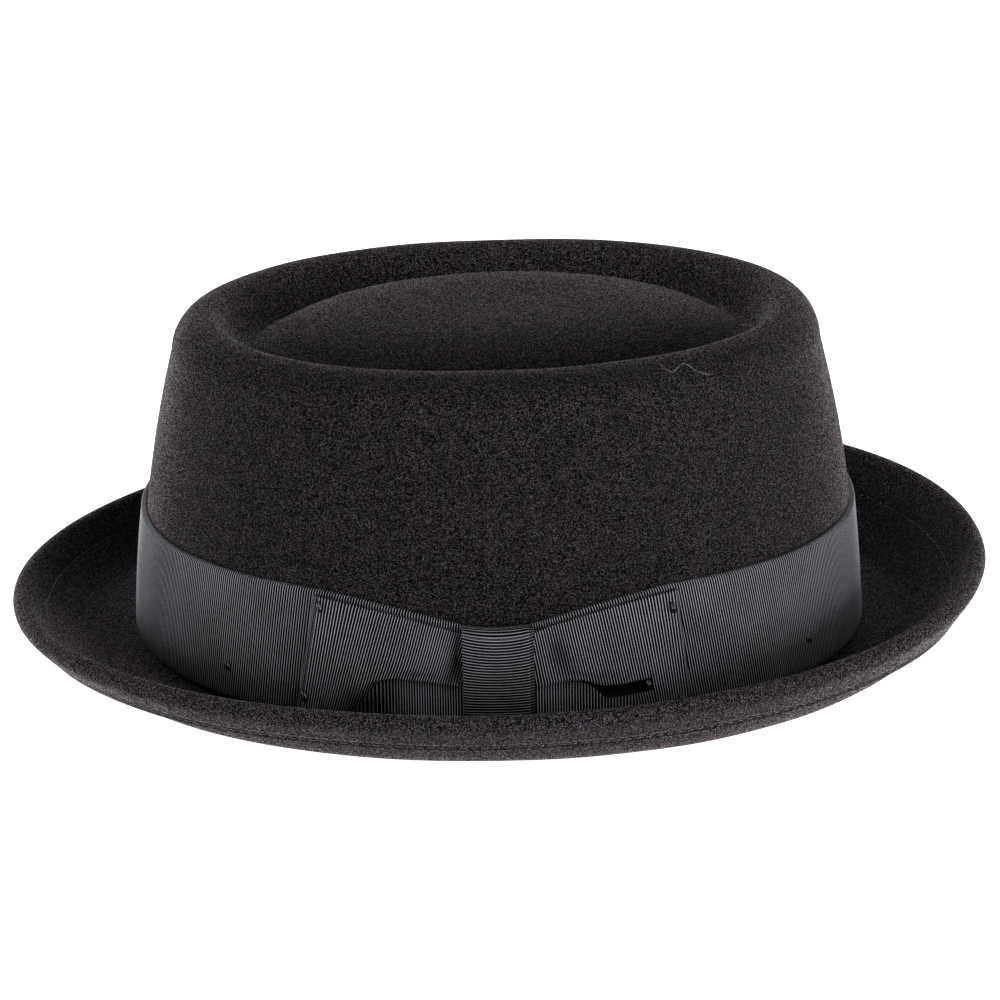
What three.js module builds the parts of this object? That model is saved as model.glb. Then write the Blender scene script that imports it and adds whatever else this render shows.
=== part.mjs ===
// Porkpie hat of black wool felt with a grosgrain band and a flat pinched bow.
// Millimetres, +Z up, +X towards the back of the hat. The bow is on the wearer's left, towards -Y.
// Heights are taken from the brim break, where crown and brim meet, until the last section
// lifts the whole hat so that the underside of its brim lies on z = 0.

import * as THREE from 'three';

// Felt body sizes
const feltThickness = 2.2;
const crownHalfLength = 102;
const crownHalfWidth = 86.5;
const ovalPower = 2.15;
const crestHeight = 90.5;
const crestLiftAtBack = 0.9;
const endLean = 11.2;
const sideLean = 18;
const wallBulge = 2.1;
const shoulderRadius = 10.4;
const rimInnerRadius = 5;
const rimInnerAngle = THREE.MathUtils.degToRad(70);
const grooveDepth = 12.5;
const grooveRadius = 5;
const domeRise = 14;
const domePower = 4;

// Brim sizes
const breakRadius = 4.6;
const brimDip = 3.1;
const restWidth = 7.8;
const brimEndReach = 31.7;
const brimSideReach = 26.5;
const brimOvalPower = 2.03;
const brimEdgeHeight = 13.2;
const brimLiftAtBack = 4.2;
const brimTwist = 1.3;
const brimCurlPower = 1.65;
const weltWidth = 9;
const weltThickness = 2.4;

// Ribbon sizes
const seatGap = 0.3;
const bandThickness = 1;
const bandWidth = 34.8;
const ribbonThickness = 0.9;

// Bow sizes
const bowCentre = -6.3;
const bowHalfLengthTop = 49.3;
const bowHalfLengthBottom = 53;
const bowTopBelowBand = 0.9;
const bowBottom = 0.5;
const centreDip = 10;
const dipHalfLength = 52;
const dipPower = 1.45;
const waistBottom = 2.2;
const knotHalfWidth = 9.6;
const knotTopDip = 1.2;
const puffDepth = 2.2;
const puffPeak = 21;
const pleatDepth = 2.6;
const pleatHeight = 13.2;
const pleatTuck = 2.4;
const pleatLip = 0.6;
const pleatRollTo = 0.75;
const frontHalfLength = 42;

// How far the pleat has opened and where its fold lies, outwards from the knot.
// reach is a share of frontHalfLength, height of pleatHeight and depth of pleatDepth.
const leftPleat = [
  { reach: 0, height: 0.85, depth: 0 },
  { reach: 0.23, height: 0.85, depth: 0.05 },
  { reach: 0.35, height: 0.84, depth: 0.7 },
  { reach: 0.5, height: 0.98, depth: 1 },
  { reach: 0.68, height: 1.02, depth: 1 },
  { reach: 0.81, height: 0.92, depth: 0.7 },
  { reach: 0.89, height: 0.7, depth: 0.35 },
  { reach: 0.98, height: 0.42, depth: 0.08 },
  { reach: 1.3, height: 0.42, depth: 0 },
];
const rightPleat = [
  { reach: 0, height: 0.86, depth: 0 },
  { reach: 0.23, height: 0.86, depth: 0.05 },
  { reach: 0.32, height: 0.93, depth: 0.65 },
  { reach: 0.45, height: 0.97, depth: 0.9 },
  { reach: 0.54, height: 0.93, depth: 0.9 },
  { reach: 0.67, height: 0.74, depth: 0.8 },
  { reach: 0.97, height: 0.75, depth: 0.7 },
  { reach: 1.03, height: 0.72, depth: 0.05 },
  { reach: 1.3, height: 0.7, depth: 0 },
];

// Meshing
const turnCount = 64;
const turnNudge = 0.002;
const capSteps = 4;

const feltMaterial = new THREE.MeshStandardMaterial({ color: 0x2c2829, roughness: 0.95, metalness: 0 });
const bandMaterial = new THREE.MeshStandardMaterial({ color: 0x34353a, roughness: 0.6, metalness: 0 });

function mix(from, to, share) {
  return from + (to - from) * share;
}

function clampShare(value) {
  return Math.min(Math.max(value, 0), 1);
}

function easeShare(value) {
  const share = clampShare(value);
  return share * share * (3 - 2 * share);
}

function signedPower(value, power) {
  return Math.sign(value) * Math.abs(value) ** power;
}

// Value of a column at a reach, read from a table whose rows run outwards.
function readColumn(table, reach, column) {
  const last = table[table.length - 1];
  for (let row = 1; row < table.length; row += 1) {
    if (reach <= table[row].reach) {
      const before = table[row - 1];
      const share = (reach - before.reach) / (table[row].reach - before.reach);
      return mix(before[column], table[row][column], share);
    }
  }
  return last[column];
}

// One level of the felt: an oval with its half sizes, and a height that may change round it.
function ovalLevel(halfLength, halfWidth, power, heightAt, rests = false) {
  return { halfLength, halfWidth, power, heightAt, rests };
}

function pointOnLevel(level, turn) {
  const alongX = signedPower(Math.cos(turn), 2 / level.power);
  const alongY = signedPower(Math.sin(turn), 2 / level.power);
  return new THREE.Vector3(level.halfLength * alongX, level.halfWidth * alongY, level.heightAt(turn));
}

// Crown levels: a height grows a little towards the back.
function crownHeight(height) {
  return (turn) => height * (1 + (crestLiftAtBack * Math.cos(turn)) / crestHeight);
}

const wallHeight = crestHeight - shoulderRadius;

function wallInset(share) {
  return -wallBulge * 4 * share * (1 - share);
}

function crownLevel(leanShare, inset, height) {
  const halfLength = crownHalfLength - endLean * leanShare - inset;
  const halfWidth = crownHalfWidth - sideLean * leanShare - inset;
  return ovalLevel(halfLength, halfWidth, ovalPower, crownHeight(height));
}

// Inner side of the rim: an arc off the crest, a straight slope, and the arc of the groove.
const rimArcInset = rimInnerRadius * Math.sin(rimInnerAngle);
const rimArcDrop = rimInnerRadius * (1 - Math.cos(rimInnerAngle));
const grooveArcInset = grooveRadius * Math.sin(rimInnerAngle);
const grooveArcRise = grooveRadius * (1 - Math.cos(rimInnerAngle));
const slopeDrop = Math.max(grooveDepth - rimArcDrop - grooveArcRise, feltThickness / 2);
const slopeInset = slopeDrop / Math.tan(rimInnerAngle);
const grooveInset = shoulderRadius + rimArcInset + slopeInset + grooveArcInset;
const grooveHeight = crestHeight - rimArcDrop - slopeDrop - grooveArcRise;
const domeHalfLength = crownHalfLength - endLean - grooveInset;
const domeHalfWidth = crownHalfWidth - sideLean - grooveInset;

function domeLevel(reach) {
  const height = grooveHeight + domeRise * (1 - reach ** domePower);
  return ovalLevel(domeHalfLength * reach, domeHalfWidth * reach, ovalPower, crownHeight(height));
}

function crownLevels() {
  const levels = [0.3, 0.52, 0.7, 0.82, 0.91, 0.97].map(domeLevel);
  for (const share of [0.25, 0.6, 1]) {
    const angle = rimInnerAngle * share;
    const inset = grooveInset - grooveRadius * Math.sin(angle);
    levels.push(crownLevel(1, inset, grooveHeight + grooveRadius * (1 - Math.cos(angle))));
  }
  for (const share of [1, 0.55]) {
    const angle = rimInnerAngle * share;
    const inset = shoulderRadius + rimInnerRadius * Math.sin(angle);
    levels.push(crownLevel(1, inset, crestHeight - rimInnerRadius * (1 - Math.cos(angle))));
  }
  for (const share of [1, 0.8, 0.6, 0.4, 0.2]) {
    const angle = (Math.PI / 2) * share;
    const inset = shoulderRadius * (1 - Math.cos(angle));
    levels.push(crownLevel(1, inset, wallHeight + shoulderRadius * Math.sin(angle)));
  }
  for (const share of [1, 0.75, 0.5, 0.25, 0]) {
    levels.push(crownLevel(share, wallInset(share), wallHeight * share));
  }
  return levels;
}

// Brim levels run outwards from the break by a share of the reach.
const brimMeanReach = (brimEndReach + brimSideReach) / 2;
const breakShare = breakRadius / brimMeanReach;
const restShare = (breakRadius + restWidth) / brimMeanReach;

function brimEdgeAt(turn) {
  const lift = brimLiftAtBack * Math.cos(turn);
  return brimEdgeHeight + lift + brimTwist * Math.sin(2 * turn);
}

function brimLevel(share, rests = false) {
  const halfLength = crownHalfLength + brimEndReach * share;
  const halfWidth = crownHalfWidth + brimSideReach * share;
  const power = mix(ovalPower, brimOvalPower, share);
  const aroundBreak = 1 - clampShare(share / breakShare);
  const dip = brimDip * Math.sqrt(1 - aroundBreak ** 2);
  const curl = clampShare((share - restShare) / (1 - restShare)) ** brimCurlPower;
  const heightAt = (turn) => -dip + (brimEdgeAt(turn) + brimDip) * curl;
  return ovalLevel(halfLength, halfWidth, power, heightAt, rests);
}

const edgeSlope = Math.atan((brimCurlPower * (brimEdgeHeight + brimDip)) / (brimMeanReach * (1 - restShare)));
const weltShare = 1 - (weltWidth * Math.cos(edgeSlope)) / brimMeanReach;

function brimLevels() {
  const levels = [0.12, 0.45].map((share) => brimLevel(breakShare * share));
  levels.push(brimLevel(breakShare, true));
  levels.push(brimLevel(restShare, true));
  for (const share of [0.35, 0.65]) {
    levels.push(brimLevel(mix(restShare, weltShare, share)));
  }
  levels.push(brimLevel(weltShare));
  levels.push(brimLevel(mix(weltShare, 1, 0.5)));
  levels.push(brimLevel(1));
  return levels;
}

const outerLevels = [...crownLevels(), ...brimLevels()];
const weltIndex = outerLevels.length - 3;
const edgeIndex = outerLevels.length - 1;

// Outward directions of the felt at one level: off its face, and along it away from the crown.
function directionsAt(index, turn) {
  const before = outerLevels[Math.max(index - 1, 0)];
  const after = outerLevels[Math.min(index + 1, edgeIndex)];
  const along = pointOnLevel(after, turn).sub(pointOnLevel(before, turn)).normalize();
  const round = pointOnLevel(outerLevels[index], turn + turnNudge);
  round.sub(pointOnLevel(outerLevels[index], turn - turnNudge)).normalize();
  const off = along.clone().cross(round).normalize();
  if (outerLevels[index].rests) {
    off.set(0, 0, 1);
  }
  return { along, off };
}

function turnsOf(count) {
  return Array.from({ length: count }, (_, index) => (2 * Math.PI * index) / count);
}

const turns = turnsOf(turnCount);

function innerRing(index, depth) {
  return turns.map((turn) => {
    const { off } = directionsAt(index, turn);
    return pointOnLevel(outerLevels[index], turn).addScaledVector(off, -depth);
  });
}

// Brim edge: a round turn from the top face to the welt's underside.
function edgeRing(step) {
  const half = (feltThickness + weltThickness) / 2;
  const angle = (Math.PI * step) / capSteps;
  return turns.map((turn) => {
    const { along, off } = directionsAt(edgeIndex, turn);
    const point = pointOnLevel(outerLevels[edgeIndex], turn);
    point.addScaledVector(off, half * (Math.cos(angle) - 1));
    return point.addScaledVector(along, half * Math.sin(angle));
  });
}

// Closed skin through a list of rings, from a point over the first ring to one at the last.
function closedSkin(startPoint, rings, endPoint) {
  const count = rings[0].length;
  const points = [startPoint, ...rings.flat(), endPoint];
  const faces = [];
  const endIndex = points.length - 1;
  for (let side = 0; side < count; side += 1) {
    const next = (side + 1) % count;
    faces.push(0, 1 + side, 1 + next);
    for (let ring = 0; ring < rings.length - 1; ring += 1) {
      const here = 1 + ring * count;
      const below = here + count;
      faces.push(here + side, below + side, below + next);
      faces.push(here + side, below + next, here + next);
    }
    const last = 1 + (rings.length - 1) * count;
    faces.push(last + side, endIndex, last + next);
  }
  return skinGeometry(points, faces);
}

// Closed loop of sections, each with the same number of points in the same order.
function closedLoop(sections) {
  const count = sections[0].length;
  const faces = [];
  for (let section = 0; section < sections.length; section += 1) {
    const here = section * count;
    const ahead = ((section + 1) % sections.length) * count;
    for (let corner = 0; corner < count; corner += 1) {
      const next = (corner + 1) % count;
      faces.push(here + corner, ahead + corner, ahead + next);
      faces.push(here + corner, ahead + next, here + next);
    }
  }
  return skinGeometry(sections.flat(), faces);
}

function skinGeometry(points, faces) {
  const geometry = new THREE.BufferGeometry();
  geometry.setAttribute('position', new THREE.Float32BufferAttribute(points.flatMap((p) => p.toArray()), 3));
  geometry.setIndex(faces);
  geometry.computeVertexNormals();
  return geometry;
}

// Felt body: crown, brim and folded welt in one piece, hollow below.
function makeFeltBody() {
  const rings = outerLevels.map((level) => turns.map((turn) => pointOnLevel(level, turn)));
  for (let step = 1; step < capSteps; step += 1) {
    rings.push(edgeRing(step));
  }
  for (let index = edgeIndex; index >= weltIndex; index -= 1) {
    rings.push(innerRing(index, feltThickness + weltThickness));
  }
  for (let index = weltIndex; index >= 0; index -= 1) {
    rings.push(innerRing(index, feltThickness));
  }
  const domeTop = crownHeight(grooveHeight + domeRise)(Math.PI / 2);
  const outerPole = new THREE.Vector3(0, 0, domeTop);
  const innerPole = new THREE.Vector3(0, 0, domeTop - feltThickness);
  return closedSkin(outerPole, rings, innerPole);
}

// Crown wall at a height, grown outwards by an offset, as an oval.
function wallAt(height, offset) {
  const share = height / wallHeight;
  const inset = wallInset(clampShare(share)) - offset;
  return crownLevel(share, inset, height);
}

// Point over the bow side of the wall at a place along the hat, a height and an offset.
function overWall(x, height, offset) {
  const level = wallAt(height, offset);
  const share = Math.abs(x / level.halfLength) ** ovalPower;
  const y = -level.halfWidth * (1 - share) ** (1 / ovalPower);
  return new THREE.Vector3(x, y, height);
}

// Top edge of the band: it is drawn down to a shallow V under the knot.
function bandTopAt(x) {
  const reach = Math.abs(x - bowCentre);
  return bandWidth - centreDip * Math.max(1 - reach / dipHalfLength, 0) ** dipPower;
}

// Hat band: one ribbon round the crown, its joint hidden behind the bow.
function makeBand() {
  const inner = seatGap;
  const outer = seatGap + bandThickness;
  const bandTurns = turnsOf(turnCount).map((turn) => turn + Math.PI / turnCount);
  const sections = bandTurns.map((turn) => {
    const foot = pointOnLevel(wallAt(0, outer), turn);
    const top = foot.y < 0 ? bandTopAt(foot.x) : bandWidth;
    const heights = [0, 1 / 3, 2 / 3, 1].map((share) => top * share);
    const wallPoint = (height, offset) => {
      const point = pointOnLevel(wallAt(height, offset), turn);
      return point.setZ(height);
    };
    const outside = heights.map((height) => wallPoint(height, outer));
    const inside = heights.map((height) => wallPoint(height, inner)).reverse();
    return [...outside, ...inside];
  });
  return closedLoop(sections);
}

// Offsets of the layers at the bow, counted outwards from the felt.
const overBand = seatGap + bandThickness + seatGap;
const layerStep = ribbonThickness + seatGap;

// Share of a place along the bow that lies in the knot's grip, where the knot's own back layer
// holds the bow off the band.
function waistShare(reach) {
  return 1 - easeShare((Math.abs(reach) - knotHalfWidth) / knotHalfWidth);
}

function backOffset(reach) {
  return overBand + layerStep * waistShare(reach);
}

// The front layer swells out beside the knot and lies flat again towards the fold.
function puffAt(reach) {
  const rise = easeShare((Math.abs(reach) - knotHalfWidth) / (puffPeak - knotHalfWidth));
  const fall = 1 - easeShare((Math.abs(reach) - puffPeak) / puffPeak);
  return puffDepth * rise * fall;
}

// Point on the bow at a reach from its centre line, measured along its lower edge. The end folds
// lean, so higher up the same reach lies a little nearer the centre.
function bowPoint(reach, height, offset) {
  const halfLength = mix(bowHalfLengthBottom, bowHalfLengthTop, clampShare(height / bandWidth));
  return overWall(bowCentre + (reach * halfLength) / bowHalfLengthBottom, height, offset);
}

// Top edge of the bow: it follows the band's, and sags a little inside the knot.
function bowTopAt(reach) {
  const follow = Math.max(Math.abs(reach), knotHalfWidth);
  const sag = knotTopDip * Math.max(1 - (reach / knotHalfWidth) ** 2, 0);
  return bandTopAt(bowCentre + follow) - bowTopBelowBand - sag;
}

function bowBottomAt(reach) {
  return mix(bowBottom, waistBottom, waistShare(reach));
}

// A plain stretch of ribbon: rows up its outer face and down its inner face.
const rowShares = [0, 0.2, 0.35, 0.45, 0.65, 0.85, 1];

function plainSection(outer, inner) {
  const rowsOf = (face) => {
    const bottom = bowBottomAt(face.reach);
    const top = bowTopAt(face.reach);
    return rowShares.map((share) => bowPoint(face.reach, mix(bottom, top, share), face.offset));
  };
  return [...rowsOf(outer), ...rowsOf(inner).reverse()];
}

function backSection(reach) {
  const nearBand = { reach, offset: backOffset(reach) };
  const nearFront = { reach, offset: backOffset(reach) + ribbonThickness };
  return plainSection(nearBand, nearFront);
}

// Front layer: the tuck makes its outer face double back behind a rolled lip.
function frontSection(reach) {
  const table = reach < 0 ? leftPleat : rightPleat;
  const share = Math.abs(reach) / frontHalfLength;
  const fold = pleatHeight * readColumn(table, share, 'height');
  const open = readColumn(table, share, 'depth');
  const depth = pleatDepth * open;
  const puff = puffAt(reach);
  const inner = backOffset(reach) + layerStep;
  const outer = inner + ribbonThickness;
  const top = bowTopAt(reach);
  const bottom = bowBottomAt(reach);
  const outside = [
    bowPoint(reach, bottom, outer),
    bowPoint(reach, fold + pleatTuck * open, outer),
    bowPoint(reach, fold - pleatLip * open, outer + pleatRollTo * depth),
    bowPoint(reach, fold + pleatLip, outer + depth),
    bowPoint(reach, mix(fold, top, 0.4), outer + puff + 0.5 * depth),
    bowPoint(reach, mix(fold, top, 0.75), outer + 0.7 * puff),
    bowPoint(reach, top, outer),
  ];
  const inside = rowShares.map((row) => bowPoint(reach, mix(bottom, top, row), inner));
  return [...outside, ...inside.reverse()];
}

// End fold: a half turn from the front layer to the back layer.
const innerTurn = seatGap / 2;
const outerTurn = innerTurn + ribbonThickness;
const turnReach = bowHalfLengthBottom - outerTurn;

function foldSections(side) {
  const middleOffset = overBand + outerTurn;
  return [1, 2, 3].map((step) => {
    const angle = (Math.PI * step) / 4;
    const faceAt = (radius) => ({
      reach: side * (turnReach + radius * Math.sin(angle)),
      offset: middleOffset + radius * Math.cos(angle),
    });
    return plainSection(faceAt(outerTurn), faceAt(innerTurn));
  });
}

// Bow: one flattened loop of ribbon, front layer, end fold, back layer and end fold.
function makeBow() {
  const frontShares = [1, 0.92, 0.84, 0.76, 0.68, 0.6, 0.52, 0.44, 0.36, 0.3, 0.24, 0.185, 0.09, 0];
  const backShares = [1, 0.86, 0.72, 0.58, 0.46, 0.38, 0.3, 0.24, 0.185, 0.09, 0];
  const mirrored = (shares) => [
    ...shares.map((share) => -share * turnReach),
    ...shares.slice(0, -1).reverse().map((share) => share * turnReach),
  ];
  const front = mirrored(frontShares).map(frontSection);
  const back = mirrored(backShares).reverse().map(backSection);
  return closedLoop([...front, ...foldSections(1), ...back, ...foldSections(-1).reverse()]);
}

// Knot: a short ribbon wrapped round the bow's waist, front, top, back and underside.
function makeKnot() {
  const frontInner = overBand + 3 * layerStep;
  const wrapOutline = (bottom, top, back, front, corner) => [
    { height: bottom + corner, offset: front },
    { height: bottom, offset: front - corner },
    { height: bottom, offset: back + corner },
    { height: bottom + corner, offset: back },
    { height: mix(bottom, top, 0.5), offset: back },
    { height: top - corner, offset: back },
    { height: top, offset: back + corner },
    { height: top, offset: front - corner },
    { height: top - corner, offset: front },
    { height: mix(bottom, top, 0.7), offset: front },
    { height: mix(bottom, top, 0.35), offset: front },
  ];
  const bottom = waistBottom - seatGap;
  const top = bowTopAt(knotHalfWidth) + seatGap;
  const backInner = overBand + ribbonThickness;
  const innerCorner = seatGap / 2;
  const outerCorner = innerCorner + ribbonThickness / 2;
  const inside = wrapOutline(bottom, top, backInner, frontInner, innerCorner);
  const outside = wrapOutline(
    bottom - ribbonThickness,
    top + ribbonThickness,
    overBand,
    frontInner + ribbonThickness,
    outerCorner,
  );
  const places = [-1, -0.5, 0, 0.5, 1].map((share) => bowCentre + knotHalfWidth * share);
  const across = (row) => places.map((x) => {
    const sag = bowTopAt(knotHalfWidth) - bowTopAt(x - bowCentre);
    const nearTop = easeShare((row.height - bottom) / (top - bottom));
    return overWall(x, row.height - sag * nearTop, row.offset);
  });
  const sections = outside.map((row, index) => [...across(row), ...across(inside[index]).reverse()]);
  return closedLoop(sections);
}

// Assembly: every piece is lifted so that the brim's underside lies on z = 0,
// and centred so that the origin is under the middle of the felt body.
const feltBody = makeFeltBody();
feltBody.computeBoundingBox();
const centre = feltBody.boundingBox.getCenter(new THREE.Vector3());
const lift = new THREE.Matrix4().makeTranslation(-centre.x, -centre.y, brimDip + feltThickness);

function addPiece(group, name, geometry, material) {
  const mesh = new THREE.Mesh(geometry.applyMatrix4(lift), material);
  mesh.name = name;
  group.add(mesh);
}

const hat = new THREE.Group();
addPiece(hat, 'felt_body', feltBody, feltMaterial);
addPiece(hat, 'hat_band', makeBand(), bandMaterial);
addPiece(hat, 'bow_ribbon', makeBow(), bandMaterial);
addPiece(hat, 'bow_knot', makeKnot(), bandMaterial);

export default hat;
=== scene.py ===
"""Looks of a black felt porkpie hat, standing on its brim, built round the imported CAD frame. Metres."""
import math

import bpy
import numpy as np
from mathutils import Matrix, Vector


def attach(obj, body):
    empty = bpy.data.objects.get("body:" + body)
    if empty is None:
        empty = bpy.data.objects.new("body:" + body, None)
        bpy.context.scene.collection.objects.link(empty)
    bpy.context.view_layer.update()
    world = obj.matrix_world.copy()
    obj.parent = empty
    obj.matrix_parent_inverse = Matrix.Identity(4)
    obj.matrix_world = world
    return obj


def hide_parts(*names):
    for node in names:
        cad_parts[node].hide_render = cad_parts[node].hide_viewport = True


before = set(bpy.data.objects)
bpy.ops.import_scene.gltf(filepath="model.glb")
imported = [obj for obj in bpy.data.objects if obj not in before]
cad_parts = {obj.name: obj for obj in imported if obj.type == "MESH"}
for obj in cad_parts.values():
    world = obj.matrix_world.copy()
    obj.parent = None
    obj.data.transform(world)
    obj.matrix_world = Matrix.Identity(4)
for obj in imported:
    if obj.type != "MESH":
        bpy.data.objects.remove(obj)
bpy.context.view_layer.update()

# Felt body: one cone of wool felt, steamed and blocked into a tip, a rim, a leaning crown and a
# curled brim. The edge of the brim is folded under and sewn down, so it is two layers thick there.
MM = 0.001
FELT_THICKNESS = 2.2 * MM
CROWN_HALF_LENGTH = 102 * MM
CROWN_HALF_WIDTH = 86.5 * MM
OVAL_POWER = 2.15
CREST_HEIGHT = 90.5 * MM
CREST_LIFT_AT_BACK = 0.9 * MM
END_LEAN = 11.2 * MM
SIDE_LEAN = 18 * MM
WALL_BULGE = 2.1 * MM
SHOULDER_RADIUS = 10.4 * MM
RIM_INNER_RADIUS = 5 * MM
RIM_INNER_ANGLE = math.radians(57)
GROOVE_DEPTH = 10.2 * MM
GROOVE_RADIUS = 5 * MM
DOME_RISE = 11.7 * MM
DOME_POWER = 4
BREAK_RADIUS = 4.6 * MM
BRIM_DIP = 3.1 * MM
REST_WIDTH = 7.8 * MM
BRIM_END_REACH = 31.7 * MM
BRIM_SIDE_REACH = 26.5 * MM
BRIM_OVAL_POWER = 2.03
BRIM_EDGE_HEIGHT = 13.2 * MM
BRIM_LIFT_AT_BACK = 4.2 * MM
BRIM_TWIST = 1.3 * MM
BRIM_CURL_POWER = 1.65
WELT_WIDTH = 9 * MM
WELT_THICKNESS = 2.4 * MM
LIFT = BRIM_DIP + FELT_THICKNESS
SEAM_GROOVE_DEPTH = 0.45 * MM
SEAM_GROOVE_WIDTH = 0.7 * MM
UNDER_SEAM = 1.7 * MM
RAW_EDGE_ROUND = 0.35 * MM
FOLD_SWELL = 0.45 * MM
FOLD_SWELL_REACH = 3.2 * MM
FELT_TURNS = 400
WELT_ROWS = 18
EDGE_ROWS = 10
GROOVE_ROW = 39
# Share of the felt's painted light that the edge of the brim gets.
PAINTED_EDGE_LIGHT_SHARE = 0.65
WALL_HEIGHT = CREST_HEIGHT - SHOULDER_RADIUS

# Slow waves left in the felt: height in millimetres, radians for each metre along x, y and z, start.
BLOCKING_WAVES = (
    (0.105, 51, 33, 79, 0),
    (0.0735, -61, 97, 43, 1.1),
    (0.0525, 143, 119, -127, 2.3),
)

turns = np.arange(FELT_TURNS) * 2 * math.pi / FELT_TURNS


def mix(start, end, share):
    return start + (end - start) * share


def ease(value):
    share = np.clip(value, 0, 1)
    return share * share * (3 - 2 * share)


def ring(half_length, half_width, power, height, at=turns):
    """Points of one level of the hat, as an oval with its own height round it."""
    points = np.empty((len(at), 3))
    points[:, 0] = half_length * np.sign(np.cos(at)) * np.abs(np.cos(at)) ** (2 / power)
    points[:, 1] = half_width * np.sign(np.sin(at)) * np.abs(np.sin(at)) ** (2 / power)
    points[:, 2] = height
    return points


def crown_height(height):
    return height * (1 + CREST_LIFT_AT_BACK * np.cos(turns) / CREST_HEIGHT)


def wall_inset(share):
    return -WALL_BULGE * 4 * share * (1 - share)


def wall_size(share, inset):
    """Half the length and half the width of the crown, at a share of its wall's height."""
    return CROWN_HALF_LENGTH - END_LEAN * share - inset, CROWN_HALF_WIDTH - SIDE_LEAN * share - inset


def crown_ring(share, inset, height):
    return ring(*wall_size(share, inset), OVAL_POWER, crown_height(height))


RIM_ARC_INSET = RIM_INNER_RADIUS * math.sin(RIM_INNER_ANGLE)
RIM_ARC_DROP = RIM_INNER_RADIUS * (1 - math.cos(RIM_INNER_ANGLE))
GROOVE_ARC_INSET = GROOVE_RADIUS * math.sin(RIM_INNER_ANGLE)
GROOVE_ARC_RISE = GROOVE_RADIUS * (1 - math.cos(RIM_INNER_ANGLE))
SLOPE_DROP = GROOVE_DEPTH - RIM_ARC_DROP - GROOVE_ARC_RISE
SLOPE_INSET = SLOPE_DROP / math.tan(RIM_INNER_ANGLE)
GROOVE_INSET = SHOULDER_RADIUS + RIM_ARC_INSET + SLOPE_INSET + GROOVE_ARC_INSET
GROOVE_HEIGHT = CREST_HEIGHT - GROOVE_DEPTH
DOME_HALF_LENGTH, DOME_HALF_WIDTH = wall_size(1, GROOVE_INSET)


def crown_rings():
    """Rings from the middle of the tip out over the rim and down the wall to the brim break."""
    rings = []
    for reach in np.linspace(0.012, 1, GROOVE_ROW + 1)[:-1]:
        level = GROOVE_HEIGHT + DOME_RISE * (1 - reach ** DOME_POWER)
        height = mix(level, crown_height(level), reach)
        rings.append(ring(DOME_HALF_LENGTH * reach, DOME_HALF_WIDTH * reach, OVAL_POWER, height))
    arcs = (
        # inset and height of the arc's middle, radius, angles: groove, inside of the rim, shoulder
        (GROOVE_INSET, GROOVE_HEIGHT + GROOVE_RADIUS, GROOVE_RADIUS,
         math.pi + RIM_INNER_ANGLE * np.linspace(0, 1, 8)),
        (SHOULDER_RADIUS, CREST_HEIGHT - RIM_INNER_RADIUS, RIM_INNER_RADIUS,
         RIM_INNER_ANGLE * np.linspace(1, 0, 10)),
        (SHOULDER_RADIUS, WALL_HEIGHT, SHOULDER_RADIUS, -math.pi / 2 * np.linspace(0, 1, 14)[1:]),
    )
    for inset, height, radius, angles in arcs:
        for angle in angles:
            level = height + radius * math.cos(angle)
            rings.append(crown_ring(1, inset + radius * math.sin(angle), level))
    for share in np.linspace(1, 0, 40)[1:]:
        rings.append(crown_ring(share, wall_inset(share), WALL_HEIGHT * share))
    return rings


BRIM_MEAN_REACH = (BRIM_END_REACH + BRIM_SIDE_REACH) / 2
BREAK_SHARE = BREAK_RADIUS / BRIM_MEAN_REACH
REST_SHARE = (BREAK_RADIUS + REST_WIDTH) / BRIM_MEAN_REACH
EDGE_RISE = BRIM_CURL_POWER * (BRIM_EDGE_HEIGHT + BRIM_DIP)
EDGE_SLOPE = math.atan(EDGE_RISE / (BRIM_MEAN_REACH * (1 - REST_SHARE)))
WELT_SHARE = 1 - WELT_WIDTH * math.cos(EDGE_SLOPE) / BRIM_MEAN_REACH


def brim_ring(share):
    edge = BRIM_EDGE_HEIGHT + BRIM_LIFT_AT_BACK * np.cos(turns) + BRIM_TWIST * np.sin(2 * turns)
    around_break = 1 - min(share / BREAK_SHARE, 1)
    dip = BRIM_DIP * math.sqrt(1 - around_break ** 2)
    curl = max((share - REST_SHARE) / (1 - REST_SHARE), 0) ** BRIM_CURL_POWER
    half_length = CROWN_HALF_LENGTH + BRIM_END_REACH * share
    half_width = CROWN_HALF_WIDTH + BRIM_SIDE_REACH * share
    power = mix(OVAL_POWER, BRIM_OVAL_POWER, share)
    return ring(half_length, half_width, power, -dip + (edge + BRIM_DIP) * curl)


def seam_groove(from_seam):
    """Depth that a row of stitches pulls the felt in, at a distance across the row."""
    return SEAM_GROOVE_DEPTH * np.exp(-(from_seam / SEAM_GROOVE_WIDTH) ** 2)


def ring_normals(rows):
    """Directions off the felt and along it, away from the crown, at every point of its rings."""
    along = np.gradient(rows, axis=0)
    around = np.roll(rows, -1, axis=1) - np.roll(rows, 1, axis=1)
    off = np.cross(along, around)
    off /= np.linalg.norm(off, axis=2, keepdims=True)
    along /= np.linalg.norm(along, axis=2, keepdims=True)
    return off, along


def blocking_wave(rows):
    """Slow unevenness that steaming and brushing leave in the felt, in metres off the surface."""
    off = 0
    for height, *along, start in BLOCKING_WAVES:
        off = off + height * MM * np.sin(rows @ np.array(along) + start)
    return off


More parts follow.
